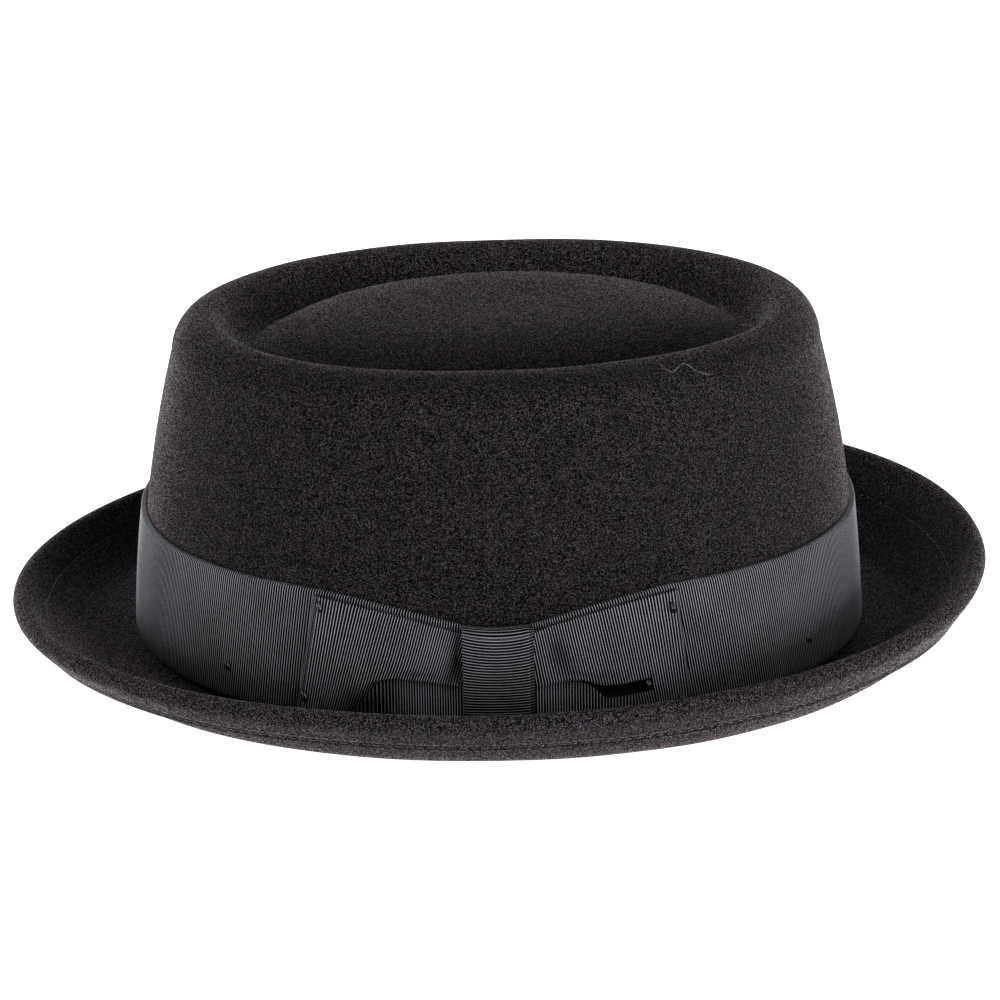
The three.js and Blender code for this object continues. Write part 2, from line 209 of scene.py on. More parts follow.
def skin_mesh(name, rings, poles=None, wrap=False, uv=None):
    """A closed skin through rings of points: round each ring, and from ring to ring.

    poles closes both ends with a point, and wrap joins the last ring to the first one.
    uv gives a pair of lengths in metres for each point, for patterns that follow the cloth.
    """
    rows = np.asarray(rings)
    ring_count, side_count = rows.shape[:2]
    points = rows.reshape(-1, 3)
    index = np.arange(ring_count * side_count).reshape(ring_count, side_count)
    below = np.roll(index, -1, axis=0) if wrap else index[1:]
    here = index if wrap else index[:-1]
    quads = np.stack([here, below, np.roll(below, -1, axis=1), np.roll(here, -1, axis=1)], axis=2)
    faces = quads.reshape(-1, 4).tolist()
    if poles is not None:
        points = np.vstack([points, poles])
        first, last = index[0], index[-1]
        top, bottom = len(points) - 2, len(points) - 1
        for side in range(side_count):
            after = (side + 1) % side_count
            faces.append([top, int(first[side]), int(first[after])])
            faces.append([bottom, int(last[after]), int(last[side])])
    mesh = bpy.data.meshes.new(name)
    mesh.from_pydata(points.tolist(), [], faces)
    if uv is not None:
        pairs = np.asarray(uv).reshape(-1, 2)
        layer = mesh.uv_layers.new(name="cloth")
        corners = np.empty(len(mesh.loops), dtype=np.int32)
        mesh.loops.foreach_get("vertex_index", corners)
        layer.data.foreach_set("uv", pairs[corners].astype(np.float32).ravel())
    mesh.shade_smooth()
    mesh.validate()
    return mesh


def add_object(name, data):
    made = bpy.data.objects.new(name, data)
    bpy.context.scene.collection.objects.link(made)
    return made


def add_piece(name, mesh, material):
    mesh.materials.append(material)
    return add_object(name, mesh)


def felt_rings():
    """All rings of the felt, from the top of the tip over the brim's folded edge to its inside."""
    crown = crown_rings()
    shares = np.concatenate([
        np.linspace(0, BREAK_SHARE, 9)[1:],
        np.linspace(BREAK_SHARE, REST_SHARE, 6)[1:],
        np.linspace(REST_SHARE, WELT_SHARE, 16)[1:],
        np.linspace(WELT_SHARE, 1, WELT_ROWS)[1:],
    ])
    outer = np.array(crown + [brim_ring(share) for share in shares])
    welt_row = len(outer) - WELT_ROWS
    off, along = ring_normals(outer)
    travel = np.linalg.norm(np.diff(outer, axis=0), axis=2).cumsum(axis=0)
    travel = np.vstack([np.zeros((1, FELT_TURNS)), travel])
    from_seam = (travel - travel[welt_row])[..., None]
    from_edge = (travel[-1] - travel)[..., None]
    wave = blocking_wave(outer)[..., None]
    swell = FOLD_SWELL * np.exp(-(from_edge / FOLD_SWELL_REACH) ** 2)
    face = outer + off * (wave + swell - seam_groove(from_seam))
    under = outer + off * (wave - FELT_THICKNESS)
    pull = seam_groove(from_seam - UNDER_SEAM)
    welt = outer + off * (wave - swell - FELT_THICKNESS - WELT_THICKNESS + pull)
    half = np.linalg.norm(face[-1] - welt[-1], axis=1, keepdims=True) / 2
    middle = (face[-1] + welt[-1]) / 2
    edge = []
    for angle in np.linspace(0, math.pi, EDGE_ROWS + 2)[1:-1]:
        edge.append(middle + off[-1] * half * math.cos(angle) + along[-1] * half * math.sin(angle))
    cut = along[welt_row] * RAW_EDGE_ROUND
    raw_edge = [
        mix(welt[welt_row], under[welt_row], 0.1) - cut,
        mix(welt[welt_row], under[welt_row], 0.5) - cut * 1.3,
        mix(welt[welt_row], under[welt_row], 0.9) - cut,
    ]
    inside = list(under[welt_row:len(crown):-2]) + list(under[len(crown)::-3])
    if len(crown) % 3 != 0:
        inside.append(under[0])
    rings = np.array(list(face) + edge + list(welt[:welt_row - 1:-1]) + raw_edge + inside)
    rings[..., 2] = np.maximum(rings[..., 2], -LIFT)
    centre = (rings.reshape(-1, 3).max(axis=0) + rings.reshape(-1, 3).min(axis=0)) / 2
    return rings, np.array([-centre[0], -centre[1], LIFT]), len(face)


rings, PLACE, outer_count = felt_rings()
poles = np.array([rings[0].mean(axis=0), rings[-1].mean(axis=0)]) + PLACE
felt_mesh = skin_mesh("felt_body_skin", rings + PLACE, poles=poles)


def store_shade(mesh, name, values):
    """Stores a value from 0 to 1 for each point, under a name that a material reads."""
    layer = mesh.attributes.new(name, "FLOAT", "POINT")
    layer.data.foreach_set("value", np.asarray(values).astype(np.float32).ravel())
    return mesh


def row_shade(first, last, rows_in, rows_out):
    """A share from 0 to 1 over the felt's rows, for its painted light: it comes in over some rows after
    the first and ends at the last.
    """
    row = np.arange(len(rings))
    return ease((row - first) / rows_in) * ease((last - row) / rows_out)


# Painted light: the felt's colour is made paler down the inside of the rim and along the edge of the
# brim, standing in for the light that falls there.
painted_rim_light = row_shade(GROOVE_ROW - 2, GROOVE_ROW + 21, 5, 8)
painted_edge_light = row_shade(outer_count - WELT_ROWS, outer_count + EDGE_ROWS + 3, WELT_ROWS - 4, 8)
painted_light = np.repeat(painted_rim_light + PAINTED_EDGE_LIGHT_SHARE * painted_edge_light, FELT_TURNS)
store_shade(felt_mesh, "painted_light", np.concatenate([painted_light, np.zeros(len(poles))]))


NUMBER = "NodeSocketFloat"


def set_sockets(tree, node, **sockets):
    """Links or sets the inputs of a node by name, with _ for each space of a name."""
    for name, value in sockets.items():
        socket = node.inputs[name.replace("_", " ")]
        if isinstance(value, bpy.types.NodeSocket):
            tree.links.new(value, socket)
        else:
            socket.default_value = value


def tree_node(tree, kind, settings=None, **sockets):
    """A node of a tree with its own settings, and its sockets linked or set by name."""
    node = tree.nodes.new(kind)
    for name, value in (settings or {}).items():
        setattr(node, name, value)
    set_sockets(tree, node, **sockets)
    return node


def node_group(name, inputs, outputs):
    """A shader group with float inputs {name: default} and float outputs: it, its inputs, its end."""
    group = bpy.data.node_groups.new(name, "ShaderNodeTree")
    for socket, default in inputs.items():
        made = group.interface.new_socket(socket, in_out="INPUT", socket_type=NUMBER)
        made.default_value = default
    for socket in outputs:
        group.interface.new_socket(socket, in_out="OUTPUT", socket_type=NUMBER)
    return group, group.nodes.new("NodeGroupInput").outputs, group.nodes.new("NodeGroupOutput")


def math_node(tree, operation, *values, clamp=False):
    """A Math node whose inputs are numbers or sockets, given back as its output socket."""
    node = tree.nodes.new("ShaderNodeMath")
    node.operation = operation
    node.use_clamp = clamp
    for socket, value in zip(node.inputs, values):
        if isinstance(value, (int, float)):
            socket.default_value = value
        else:
            tree.links.new(value, socket)
    return node.outputs[0]


def noise_node(tree, vector, scale, detail, roughness, distortion=0.0):
    """Noise whose scale is a socket or a number, given back as its factor socket."""
    noise = tree_node(tree, "ShaderNodeTexNoise", Vector=vector, Scale=scale, Detail=detail,
                      Roughness=roughness, Distortion=distortion)
    return noise.outputs["Fac"]


def ramp_node(tree, factor, stops):
    """A colour ramp from (place, colour) stops, given back as its colour socket."""
    node = tree_node(tree, "ShaderNodeValToRGB", Fac=factor)
    ramp = node.color_ramp
    while len(ramp.elements) < len(stops):
        ramp.elements.new(0.5)
    for element, (place, colour) in zip(ramp.elements, stops):
        element.position = place
        element.color = (*colour, 1)
    return node.outputs["Color"]


def make_matted_fibre_group():
    """Matted wool: short flecks of single hairs, a tangle of fibres, and patches left by brushing."""
    inputs = {"Fleck Size": 0.2 * MM, "Fibre Size": 0.18 * MM, "Patch Size": 6 * MM}
    group, given, result = node_group("matted_fibres", inputs, ("Flecks", "Fibres", "Patches"))
    place = group.nodes.new("ShaderNodeTexCoord").outputs["Object"]
    fleck, fibre, patch = (math_node(group, "DIVIDE", 1.0, given[name]) for name in inputs)
    cells = tree_node(group, "ShaderNodeTexVoronoi", Vector=place, Scale=fleck)
    flecks = tree_node(group, "ShaderNodeSeparateColor", Color=cells.outputs["Color"]).outputs[0]
    fibres = noise_node(group, place, fibre, 2, 0.6, 1.8)
    patches = noise_node(group, place, patch, 3, 0.55)
    set_sockets(group, result, Flecks=flecks, Fibres=fibres, Patches=patches)
    return group


def new_material(name):
    """A new material, with its tree and its Principled BSDF."""
    material = bpy.data.materials.new(name)
    material.use_nodes = True
    return material, material.node_tree, material.node_tree.nodes["Principled BSDF"]


def bump_node(tree, height, strength, distance):
    bump = tree_node(tree, "ShaderNodeBump", Strength=strength, Distance=distance, Height=height)
    return bump.outputs["Normal"]


FELT_DEEP = (0.0004, 0.0004, 0.0004)
FELT_MIDDLE = (0.0038, 0.0034, 0.0036)
FELT_HIGH = (0.180, 0.164, 0.174)
PURPLE_TINT = (1.02, 0.94, 1.03)
# Painted sheen and painted light on the felt: how much lighter its colour is made where the eye looks
# along it and to what power, and how much on the rim's inside and the brim's edge.
PAINTED_SHEEN_GAIN = 9.0
PAINTED_LIGHT_GAIN = 1.1
PAINTED_SHEEN_POWER = 4.0
PALEST_FELT = (0.55, 0.54, 0.53)


def make_felt_material():
    material, tree, shader = new_material("black_wool_felt")
    wool = tree_node(tree, "ShaderNodeGroup", {"node_tree": matted_fibres}).outputs
    fibres = math_node(tree, "MULTIPLY_ADD", wool["Fibres"], 0.8, -0.3)
    both = math_node(tree, "MULTIPLY_ADD", wool["Flecks"], 0.8, fibres)
    level = math_node(tree, "ADD", both, math_node(tree, "MULTIPLY_ADD", wool["Patches"], 0.06, -0.03))
    colour = ramp_node(tree, level, [(0.30, FELT_DEEP), (0.58, FELT_MIDDLE), (1.0, FELT_HIGH)])
    patches = math_node(tree, "MULTIPLY_ADD", wool["Patches"], 5.0, -2.0, clamp=True)
    tinted = tree_node(tree, "ShaderNodeMix", {"data_type": "RGBA", "blend_type": "MULTIPLY"},
                       Factor=patches, A=colour, B=(*PURPLE_TINT, 1))
    # Painted sheen: the colour is made lighter where the eye looks along the felt, keeping its grain
    # there.
    facing = tree_node(tree, "ShaderNodeLayerWeight", Blend=0.5).outputs["Facing"]
    painted_sheen = math_node(tree, "POWER", facing, PAINTED_SHEEN_POWER)
    # Painted light: the rim's inside and the brim's edge are made paler by the attribute stored with the
    # felt.
    painted_light_share = tree_node(tree, "ShaderNodeAttribute", {"attribute_name": "painted_light"}).outputs["Fac"]
    painted_light_scale = math_node(tree, "MULTIPLY_ADD", painted_light_share, PAINTED_LIGHT_GAIN, 1.0)
    painted_sheen = math_node(tree, "MULTIPLY_ADD", painted_sheen, PAINTED_SHEEN_GAIN, painted_light_scale)
    painted_light_colour = tree_node(tree, "ShaderNodeVectorMath", {"operation": "SCALE"}, Scale=painted_sheen,
                    Vector=tinted.outputs["Result"])
    least = tree_node(tree, "ShaderNodeVectorMath", {"operation": "MINIMUM"}, Vector=painted_light_colour.outputs[0])
    least.inputs[1].default_value = PALEST_FELT
    set_sockets(tree, shader, Base_Color=least.outputs[0], Roughness=0.95, Specular_IOR_Level=0.03,
                Sheen_Weight=0.1, Sheen_Roughness=0.5, Sheen_Tint=(0.60, 0.57, 0.56, 1),
                Normal=bump_node(tree, both, 1.0, 0.35 * MM))
    return material


matted_fibres = make_matted_fibre_group()
felt_material = make_felt_material()
felt_body = add_piece("felt_body_blocked", felt_mesh, felt_material)
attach(felt_body, "root")
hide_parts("felt_body")


# Hat band: a black grosgrain ribbon, 35 mm wide, wrapped round the foot of the crown and tacked
# to it. Its cords are thick weft threads, so it has cross ribs, and its joint is under the bow.
SEAT_GAP = 0.3 * MM
BAND_THICKNESS = 1.0 * MM
BAND_WIDTH = 34.8 * MM
RIB_PITCH = 0.76 * MM
RIB_HEIGHT = 0.30 * MM
RIB_SAMPLES = 4
SELVEDGE_WIDTH = 0.8 * MM
BOW_CENTRE = -6.3 * MM
CENTRE_DIP = 10 * MM
DIP_HALF_LENGTH = 52 * MM
DIP_POWER = 1.45
KNOT_DIP = 2.0 * MM
KNOT_DIP_REACH = 10.5 * MM
BAND_LEAN_LEFT = math.tan(math.radians(5.4))
BAND_LEAN_RIGHT = math.tan(math.radians(8.7))
BAND_LEAN_REACH = 74 * MM
BAND_LEAN_START = 20 * MM
BAND_LEAN_FADE = 30 * MM
SELVEDGE_SINK = 0.12 * MM
BAND_SLACK = 0.12 * MM


def grown_size(height, offset):
    """Half the length and half the width of the crown wall at a height, grown outwards."""
    share = height / WALL_HEIGHT
    return wall_size(share, wall_inset(np.clip(share, 0, 1)) - offset)


def wall_ring(height, offset, at):
    """The crown wall at a height, grown outwards by an offset, at the given turns."""
    return ring(*grown_size(height, offset), OVAL_POWER, height, at)


def rib_profile(phase):
    """Height of a rib, from 0 in the valley to 1 on its round crest, at a phase counted in ribs."""
    return np.abs(np.sin(math.pi * phase))


def band_top(x, y):
    reach = np.abs(x - BOW_CENTRE)
    dip = CENTRE_DIP * np.maximum(1 - reach / DIP_HALF_LENGTH, 0) ** DIP_POWER
    dip = dip + KNOT_DIP * (1 - ease(reach / KNOT_DIP_REACH))
    return BAND_WIDTH - np.where(y < 0, dip, 0)


def even_turns(count, height, offset):
    """Turns that part the wall at a height into equal lengths, and the length round it."""
    fine = np.linspace(0, 2 * math.pi, 7201)
    points = wall_ring(height, offset, fine)
    travel = np.concatenate([[0], np.linalg.norm(np.diff(points, axis=0), axis=1).cumsum()])
    return np.interp(np.arange(count) * travel[-1] / count, travel, fine), travel[-1]


def band_lean(foot):
    """How far a rib leans along the band for each metre up it: both ways towards the bow."""
    reach = foot[:, 0] - BOW_CENTRE
    fade = 1 - ease((np.abs(reach) - BAND_LEAN_REACH) / BAND_LEAN_FADE)
    start = np.minimum(np.abs(reach) / BAND_LEAN_START, 1)
    lean = np.where(reach < 0, BAND_LEAN_LEFT, -BAND_LEAN_RIGHT) * start
    return np.where(foot[:, 1] < 0, lean * fade, 0)


def make_band_mesh():
    outer = SEAT_GAP + BAND_THICKNESS
    girth = even_turns(4, BAND_WIDTH / 2, outer)[1]
    rib_count = round(girth / RIB_PITCH)
    at, girth = even_turns(rib_count * RIB_SAMPLES, BAND_WIDTH / 2, outer)
    travel = np.arange(len(at)) * girth / len(at)
    phase = np.arange(len(at)) / RIB_SAMPLES
    ribs = rib_profile(phase) * RIB_HEIGHT
    lean = band_lean(wall_ring(0, outer, at))
    slack = BAND_SLACK * (np.sin(travel * 61 + 0.7) + 0.6 * np.sin(travel * 143 + 2.1))
    rings, cloth = [], []

    def add_row(share, offset, rib_share):
        turn = at + lean * BAND_WIDTH * (share - 0.5) * np.gradient(at, travel)
        foot = wall_ring(0, outer, turn)
        height = band_top(foot[:, 0], foot[:, 1]) * share
        rings.append(wall_ring(height, offset - RIB_HEIGHT * (1 - rib_share) + ribs * rib_share, turn))
        cloth.append(np.stack([phase * RIB_PITCH, height], axis=1))

    edge = SELVEDGE_WIDTH / BAND_WIDTH
    for share in (0.0, edge * 0.4, edge, *np.linspace(0.08, 0.92, 13), 1 - edge, 1 - edge * 0.4, 1.0):
        near_edge = min(share, 1 - share) / edge
        sunk = SELVEDGE_SINK * max(1 - near_edge, 0)
        add_row(share, outer + slack * math.sin(math.pi * share) - sunk, min(0.5 + 0.5 * near_edge, 1))
    inner = SEAT_GAP + 0.1 * MM
    half_way = outer - 0.5 * BAND_THICKNESS
    for share, offset in ((1.0, half_way), (1.0, inner), (0.5, inner), (0.0, inner), (0.0, half_way)):
        add_row(share, offset, 0.0)
    rings = np.array(rings)[::-1] + PLACE
    return skin_mesh("hat_band_ribbon", rings, wrap=True, uv=np.array(cloth)[::-1])


def make_weave_group():
    """Grosgrain weave on the cloth map: the crest of each rib, fine threads across it, and wear."""
    inputs = {"Rib Pitch": RIB_PITCH, "Thread Pitch": 0.3 * MM}
    group, given, result = node_group("grosgrain_weave", inputs, ("Crest", "Threads", "Wear"))
    cloth = tree_node(group, "ShaderNodeUVMap", {"uv_map": "cloth"}).outputs[0]
    parts = tree_node(group, "ShaderNodeSeparateXYZ", Vector=cloth).outputs
    ribs = math_node(group, "FRACT", math_node(group, "DIVIDE", parts["X"], given["Rib Pitch"]))
    crest = math_node(group, "SINE", math_node(group, "MULTIPLY", ribs, math.pi))
    threads = math_node(group, "DIVIDE", parts["Y"], given["Thread Pitch"])
    threads = math_node(group, "SINE", math_node(group, "MULTIPLY", threads, 2 * math.pi))
    wobble = noise_node(group, cloth, 2600.0, 2, 0.6)
    threads = math_node(group, "ADD", math_node(group, "MULTIPLY", threads, 0.25), wobble)
    set_sockets(group, result, Crest=crest, Threads=threads, Wear=noise_node(group, cloth, 55.0, 3, 0.6))
    return group


# Painted light on the grosgrain: its colour runs from painted shade in each rib's valley, over the slope,
# to a painted highlight on the crest.
RIBBON_PAINTED_SHADE = (0.0002, 0.0002, 0.0003)
RIBBON_SLOPE = (0.0088, 0.0091, 0.0107)
RIBBON_PAINTED_HIGHLIGHT = (0.350, 0.355, 0.380)


def make_ribbon_material():
    material, tree, shader = new_material("black_grosgrain")
    weave = tree_node(tree, "ShaderNodeGroup", {"node_tree": grosgrain_weave}).outputs
    threads = weave["Threads"]
    level = math_node(tree, "ADD", weave["Crest"], math_node(tree, "MULTIPLY_ADD", threads, 0.20, -0.12))
    wear = math_node(tree, "MULTIPLY_ADD", weave["Wear"], 0.12, -0.06)
    level = math_node(tree, "ADD", level, wear, clamp=True)
    # Colour by the rib: painted shade in the valley and a painted highlight on the crest.
    colour = ramp_node(tree, level, [(0.52, RIBBON_PAINTED_SHADE), (0.80, RIBBON_SLOPE), (0.98, RIBBON_PAINTED_HIGHLIGHT)])
    # Painted shade: where the stored attribute is set the colour goes towards the valley's dark, in the
    # bow's slot and pocket, beside the knot and behind the front layer; on the knot it also gives the
    # cloth a darker tone.
    hidden = tree_node(tree, "ShaderNodeAttribute", {"attribute_name": "hidden"}).outputs["Fac"]
    shaded = tree_node(tree, "ShaderNodeMix", {"data_type": "RGBA"}, Factor=hidden, A=colour,
                       B=(*RIBBON_PAINTED_SHADE, 1))
    set_sockets(tree, shader, Base_Color=shaded.outputs["Result"], Specular_IOR_Level=0.08,
                Roughness=math_node(tree, "MULTIPLY_ADD", threads, 0.12, 0.38),
                Normal=bump_node(tree, threads, 0.4, 0.06 * MM))
    return material


grosgrain_weave = make_weave_group()
ribbon_material = make_ribbon_material()
hat_band = add_piece("hat_band_ribbon", make_band_mesh(), ribbon_material)
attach(hat_band, "root")
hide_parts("hat_band")


# Bow: one ribbon folded into a flattened loop and tacked on the band. Its front layer is gathered
# at the knot and folded up on itself, so a lip hangs over the lower part to both sides of the knot.
RIBBON_THICKNESS = 0.9 * MM
BOW_HALF_LENGTH = 51 * MM
BOW_ROWS = 72
BOW_TURN_STEPS = 12
BOW_BACK_STEPS = 60
# Painted shade on the bow: even over its back, turned ends and the inside of the front layer, and in the
# slot under the lip and deeper in its pocket.
UNSEEN_PAINTED_SHADE = 0.35
SLOT_PAINTED_SHADE = 0.45
SLOT_PLACE = 0.262
SLOT_REACH = 0.07
POCKET_FROM = 1.2 * MM
OPEN_FROM = 0.9 * MM
TOP_LEVEL = 0.85
SELVEDGE_SHARE = 1 / 40
LEAST_DROP = 0.3 * MM
BACK_DROP_REACH = 3 * MM
FACE_SHARE = 0.9
BOW_TOP_BELOW_BAND = 0.9 * MM
BOW_BOTTOM = 0.5 * MM
WAIST_BOTTOM = 2.2 * MM
KNOT_HALF_WIDTH = 9.6 * MM
PUFF_DEPTH = 1.9 * MM
PUFF_PEAK = 21 * MM
FOLD_TUCK = 3.2 * MM
FOLD_LIP = 0.8 * MM
FOLD_SHARE = 0.36
RIB_LEVEL = 17.4 * MM
LEFT_RIB_PITCH = 0.715 * MM
BACK_BELOW_TOP = 0.7 * MM
GATHER_REACH = 6 * MM
FREE_FROM = 26 * MM
FREE_WITHIN = 18 * MM
LAYER_STEP = RIBBON_THICKNESS + SEAT_GAP
OVER_BAND = 2 * SEAT_GAP + BAND_THICKNESS

# The fold, outwards from the knot, in millimetres: reach from the knot's middle, height of the
# lip, how far the lip stands out, how far the layer around it stands out, height of the dark slot
# under the lip, how far the lower part below the slot stands out, and the ribs' lean in degrees.
LEFT_FOLD = MM * np.array([
    # reach, height, lip, body, slot, low, lean
    (0.0, 12.6, 0.0, 0.0, 1.0, 0.0, 18),
    (9.6, 12.9, 0.4, 0.4, 1.0, 0.0, 22),
    (11.5, 13.1, 1.2, 0.9, 1.1, 0.0, 22),
    (13.6, 13.6, 2.0, 1.5, 1.2, 0.0, 22),
    (16.5, 14.2, 2.8, 2.1, 1.3, 0.1, 22),
    (21.0, 14.9, 3.2, 2.5, 1.4, 0.2, 21),
    (26.0, 15.2, 3.1, 2.5, 1.2, 0.2, 20),
    (28.0, 15.1, 2.9, 2.4, 0.95, 0.2, 19.5),
    (30.5, 14.6, 2.6, 2.3, 0.7, 0.1, 19),
    (33.0, 13.2, 2.2, 2.1, 0.45, 0.1, 18),
    (36.0, 10.2, 1.7, 1.7, 0.25, 0.0, 17),
    (38.5, 7.2, 1.25, 1.25, 0.1, 0.0, 16),
    (40.5, 4.8, 0.9, 0.9, 0.0, 0.0, 15.5),
    (42.5, 2.8, 0.6, 0.6, 0.0, 0.0, 14),
    (45.0, 1.6, 0.3, 0.3, 0.0, 0.0, 12),
    (48.0, 1.2, 0.0, 0.0, 0.0, 0.0, 10.5),
    (54.0, 1.2, 0.0, 0.0, 0.0, 0.0, 8.5),
])
RIGHT_FOLD = MM * np.array([
    # reach, height, lip, body, slot, low, lean
    (0.0, 12.0, 0.0, 0.0, 1.0, 0.0, 8),
    (9.3, 12.1, 0.4, 0.4, 1.0, 0.0, 12),
    (11.5, 12.7, 1.2, 0.9, 1.0, 0.0, 13),
    (13.4, 13.3, 2.0, 1.5, 1.0, 0.0, 13.5),
    (18.7, 14.2, 3.0, 2.3, 1.2, 0.1, 13.5),
    (22.5, 14.1, 3.1, 2.4, 1.5, 0.2, 13.3),
    (25.5, 13.1, 2.9, 2.3, 2.2, 0.3, 13.2),
    (27.2, 12.4, 2.8, 2.2, 3.4, 0.3, 13.1),
    (28.6, 12.0, 2.7, 2.1, 4.5, 0.3, 13),
    (32.0, 11.9, 2.5, 2.0, 4.5, 0.5, 12.5),
    (36.0, 12.1, 2.2, 1.8, 4.2, 0.9, 11.8),
    (40.6, 12.3, 1.7, 1.5, 3.8, 1.2, 10.8),
    (41.1, 12.3, 1.5, 1.4, 3.7, 1.2, 10.6),
    (41.4, 12.3, 1.4, 1.4, 0.0, 0.0, 10.5),
    (44.0, 11.5, 0.9, 0.9, 0.0, 0.0, 9.2),
    (48.0, 10.8, 0.2, 0.2, 0.0, 0.0, 7.5),
    (54.0, 10.8, 0.0, 0.0, 0.0, 0.0, 5.5),
])

# Soft round marks on the bow's front, in millimetres: how far each swell stands out (less than 0
# for a dent), or how dark a painted shade is from 0 to 1, then its reach and height, its width and
# tallness.
FRONT_SWELLS = (
    (-1.5, 16.5, 20, 3.4, 5.5),
    (-1.7, -11.4, 20, 2.7, 9),
    (0.7, -25, 20, 6, 6),
    (0.5, 28, 17, 8, 5),
)
FRONT_PAINTED_SHADES = (
    (0.8, -11.4, 20, 2.7, 9),
    (0.35, 16.5, 20, 2.8, 4.8),
    (0.8, -32.5, 6, 7, 6),
)

# How the front layer stands out over its height: share of the way up, share of the body's depth
# and share of the puff beside the knot.
FRONT_BODY = np.array([
    # height share, body, puff
    (0.00, 0.00, 0.00),
    (0.15, 0.45, 0.10),
    (0.33, 0.92, 0.40),
    (0.45, 1.00, 0.80),
    (0.60, 0.62, 1.00),
    (0.80, 0.18, 0.75),
    (0.95, 0.02, 0.16),
    (1.00, 0.00, 0.00),
])


def smooth_rows(places, values, at):
    """Values carried along rows by a cubic curve through control rows (Catmull-Rom)."""
    index = np.clip(np.searchsorted(places, at, side="right") - 1, 0, len(places) - 2)
    before = np.clip(index - 1, 0, len(places) - 1)
    after = np.clip(index + 2, 0, len(places) - 1)
    p0, p1, p2, p3 = values[before], values[index], values[index + 1], values[after]
    t = ((at - places[index]) / (places[index + 1] - places[index]))[:, None]
    return 0.5 * (2 * p1 + (p2 - p0) * t + (2 * p0 - 5 * p1 + 4 * p2 - p3) * t ** 2
                  + (3 * p1 - p0 - 3 * p2 + p3) * t ** 3)


def fold_at(reach):
    """The fold's height, lip, body, slot, low and lean (a slope) at places along the bow."""
    sides = []
    for table in (LEFT_FOLD, RIGHT_FOLD):
        sides.append([np.interp(np.abs(reach), table[:, 0], column) for column in table.T[1:]])
    values = np.where(reach < 0, *np.array(sides))
    values[-1] = np.tan(np.radians(values[-1] / MM))
    return values


def waist_share(reach):
    return 1 - ease((np.abs(reach) - KNOT_HALF_WIDTH) / KNOT_HALF_WIDTH)


def back_offset(reach):
    return OVER_BAND + LAYER_STEP * waist_share(reach)


def puff_at(reach):
    rise = ease((np.abs(reach) - KNOT_HALF_WIDTH) / (PUFF_PEAK - KNOT_HALF_WIDTH))
    fall = 1 - ease((np.abs(reach) - PUFF_PEAK) / PUFF_PEAK)
    return PUFF_DEPTH * rise * fall


def over_wall(x, height, offset):
    """Points over the bow side of the wall at places along the hat, heights and offsets."""
    half_length, half_width = grown_size(height, offset)
    across = (1 - np.abs(x / half_length) ** OVAL_POWER) ** (1 / OVAL_POWER)
    return np.stack([x, -half_width * across, height], axis=-1)


def leant_reach(reach, height, fold, lean):
    """Where a rib of the bow lies at a height. It leans to the knot, and stands up below a fold."""
    free = ease((np.abs(reach) - FREE_FROM) / FREE_WITHIN)
    rise = np.maximum(height, fold * (1 - free)) - RIB_LEVEL
    gathered = 1 - np.exp(-np.abs(reach) / GATHER_REACH)
    return np.sign(reach) * (np.abs(reach) - lean * rise * gathered)


def bow_top(reach):
    follow = np.maximum(np.abs(reach), KNOT_HALF_WIDTH)
    return band_top(BOW_CENTRE + follow, -1) - BOW_TOP_BELOW_BAND


def bow_bottom(reach):
    return mix(BOW_BOTTOM, WAIST_BOTTOM, waist_share(reach))


def marks_at(marks, reach, height):
    """The sum of soft round marks at points of the bow."""
    total = 0
    for strength, at_reach, at_height, wide, tall in marks:
        across = (reach / MM - at_reach) / wide
        total = total + strength * np.exp(-across ** 2 - ((height / MM - at_height) / tall) ** 2)
    return total


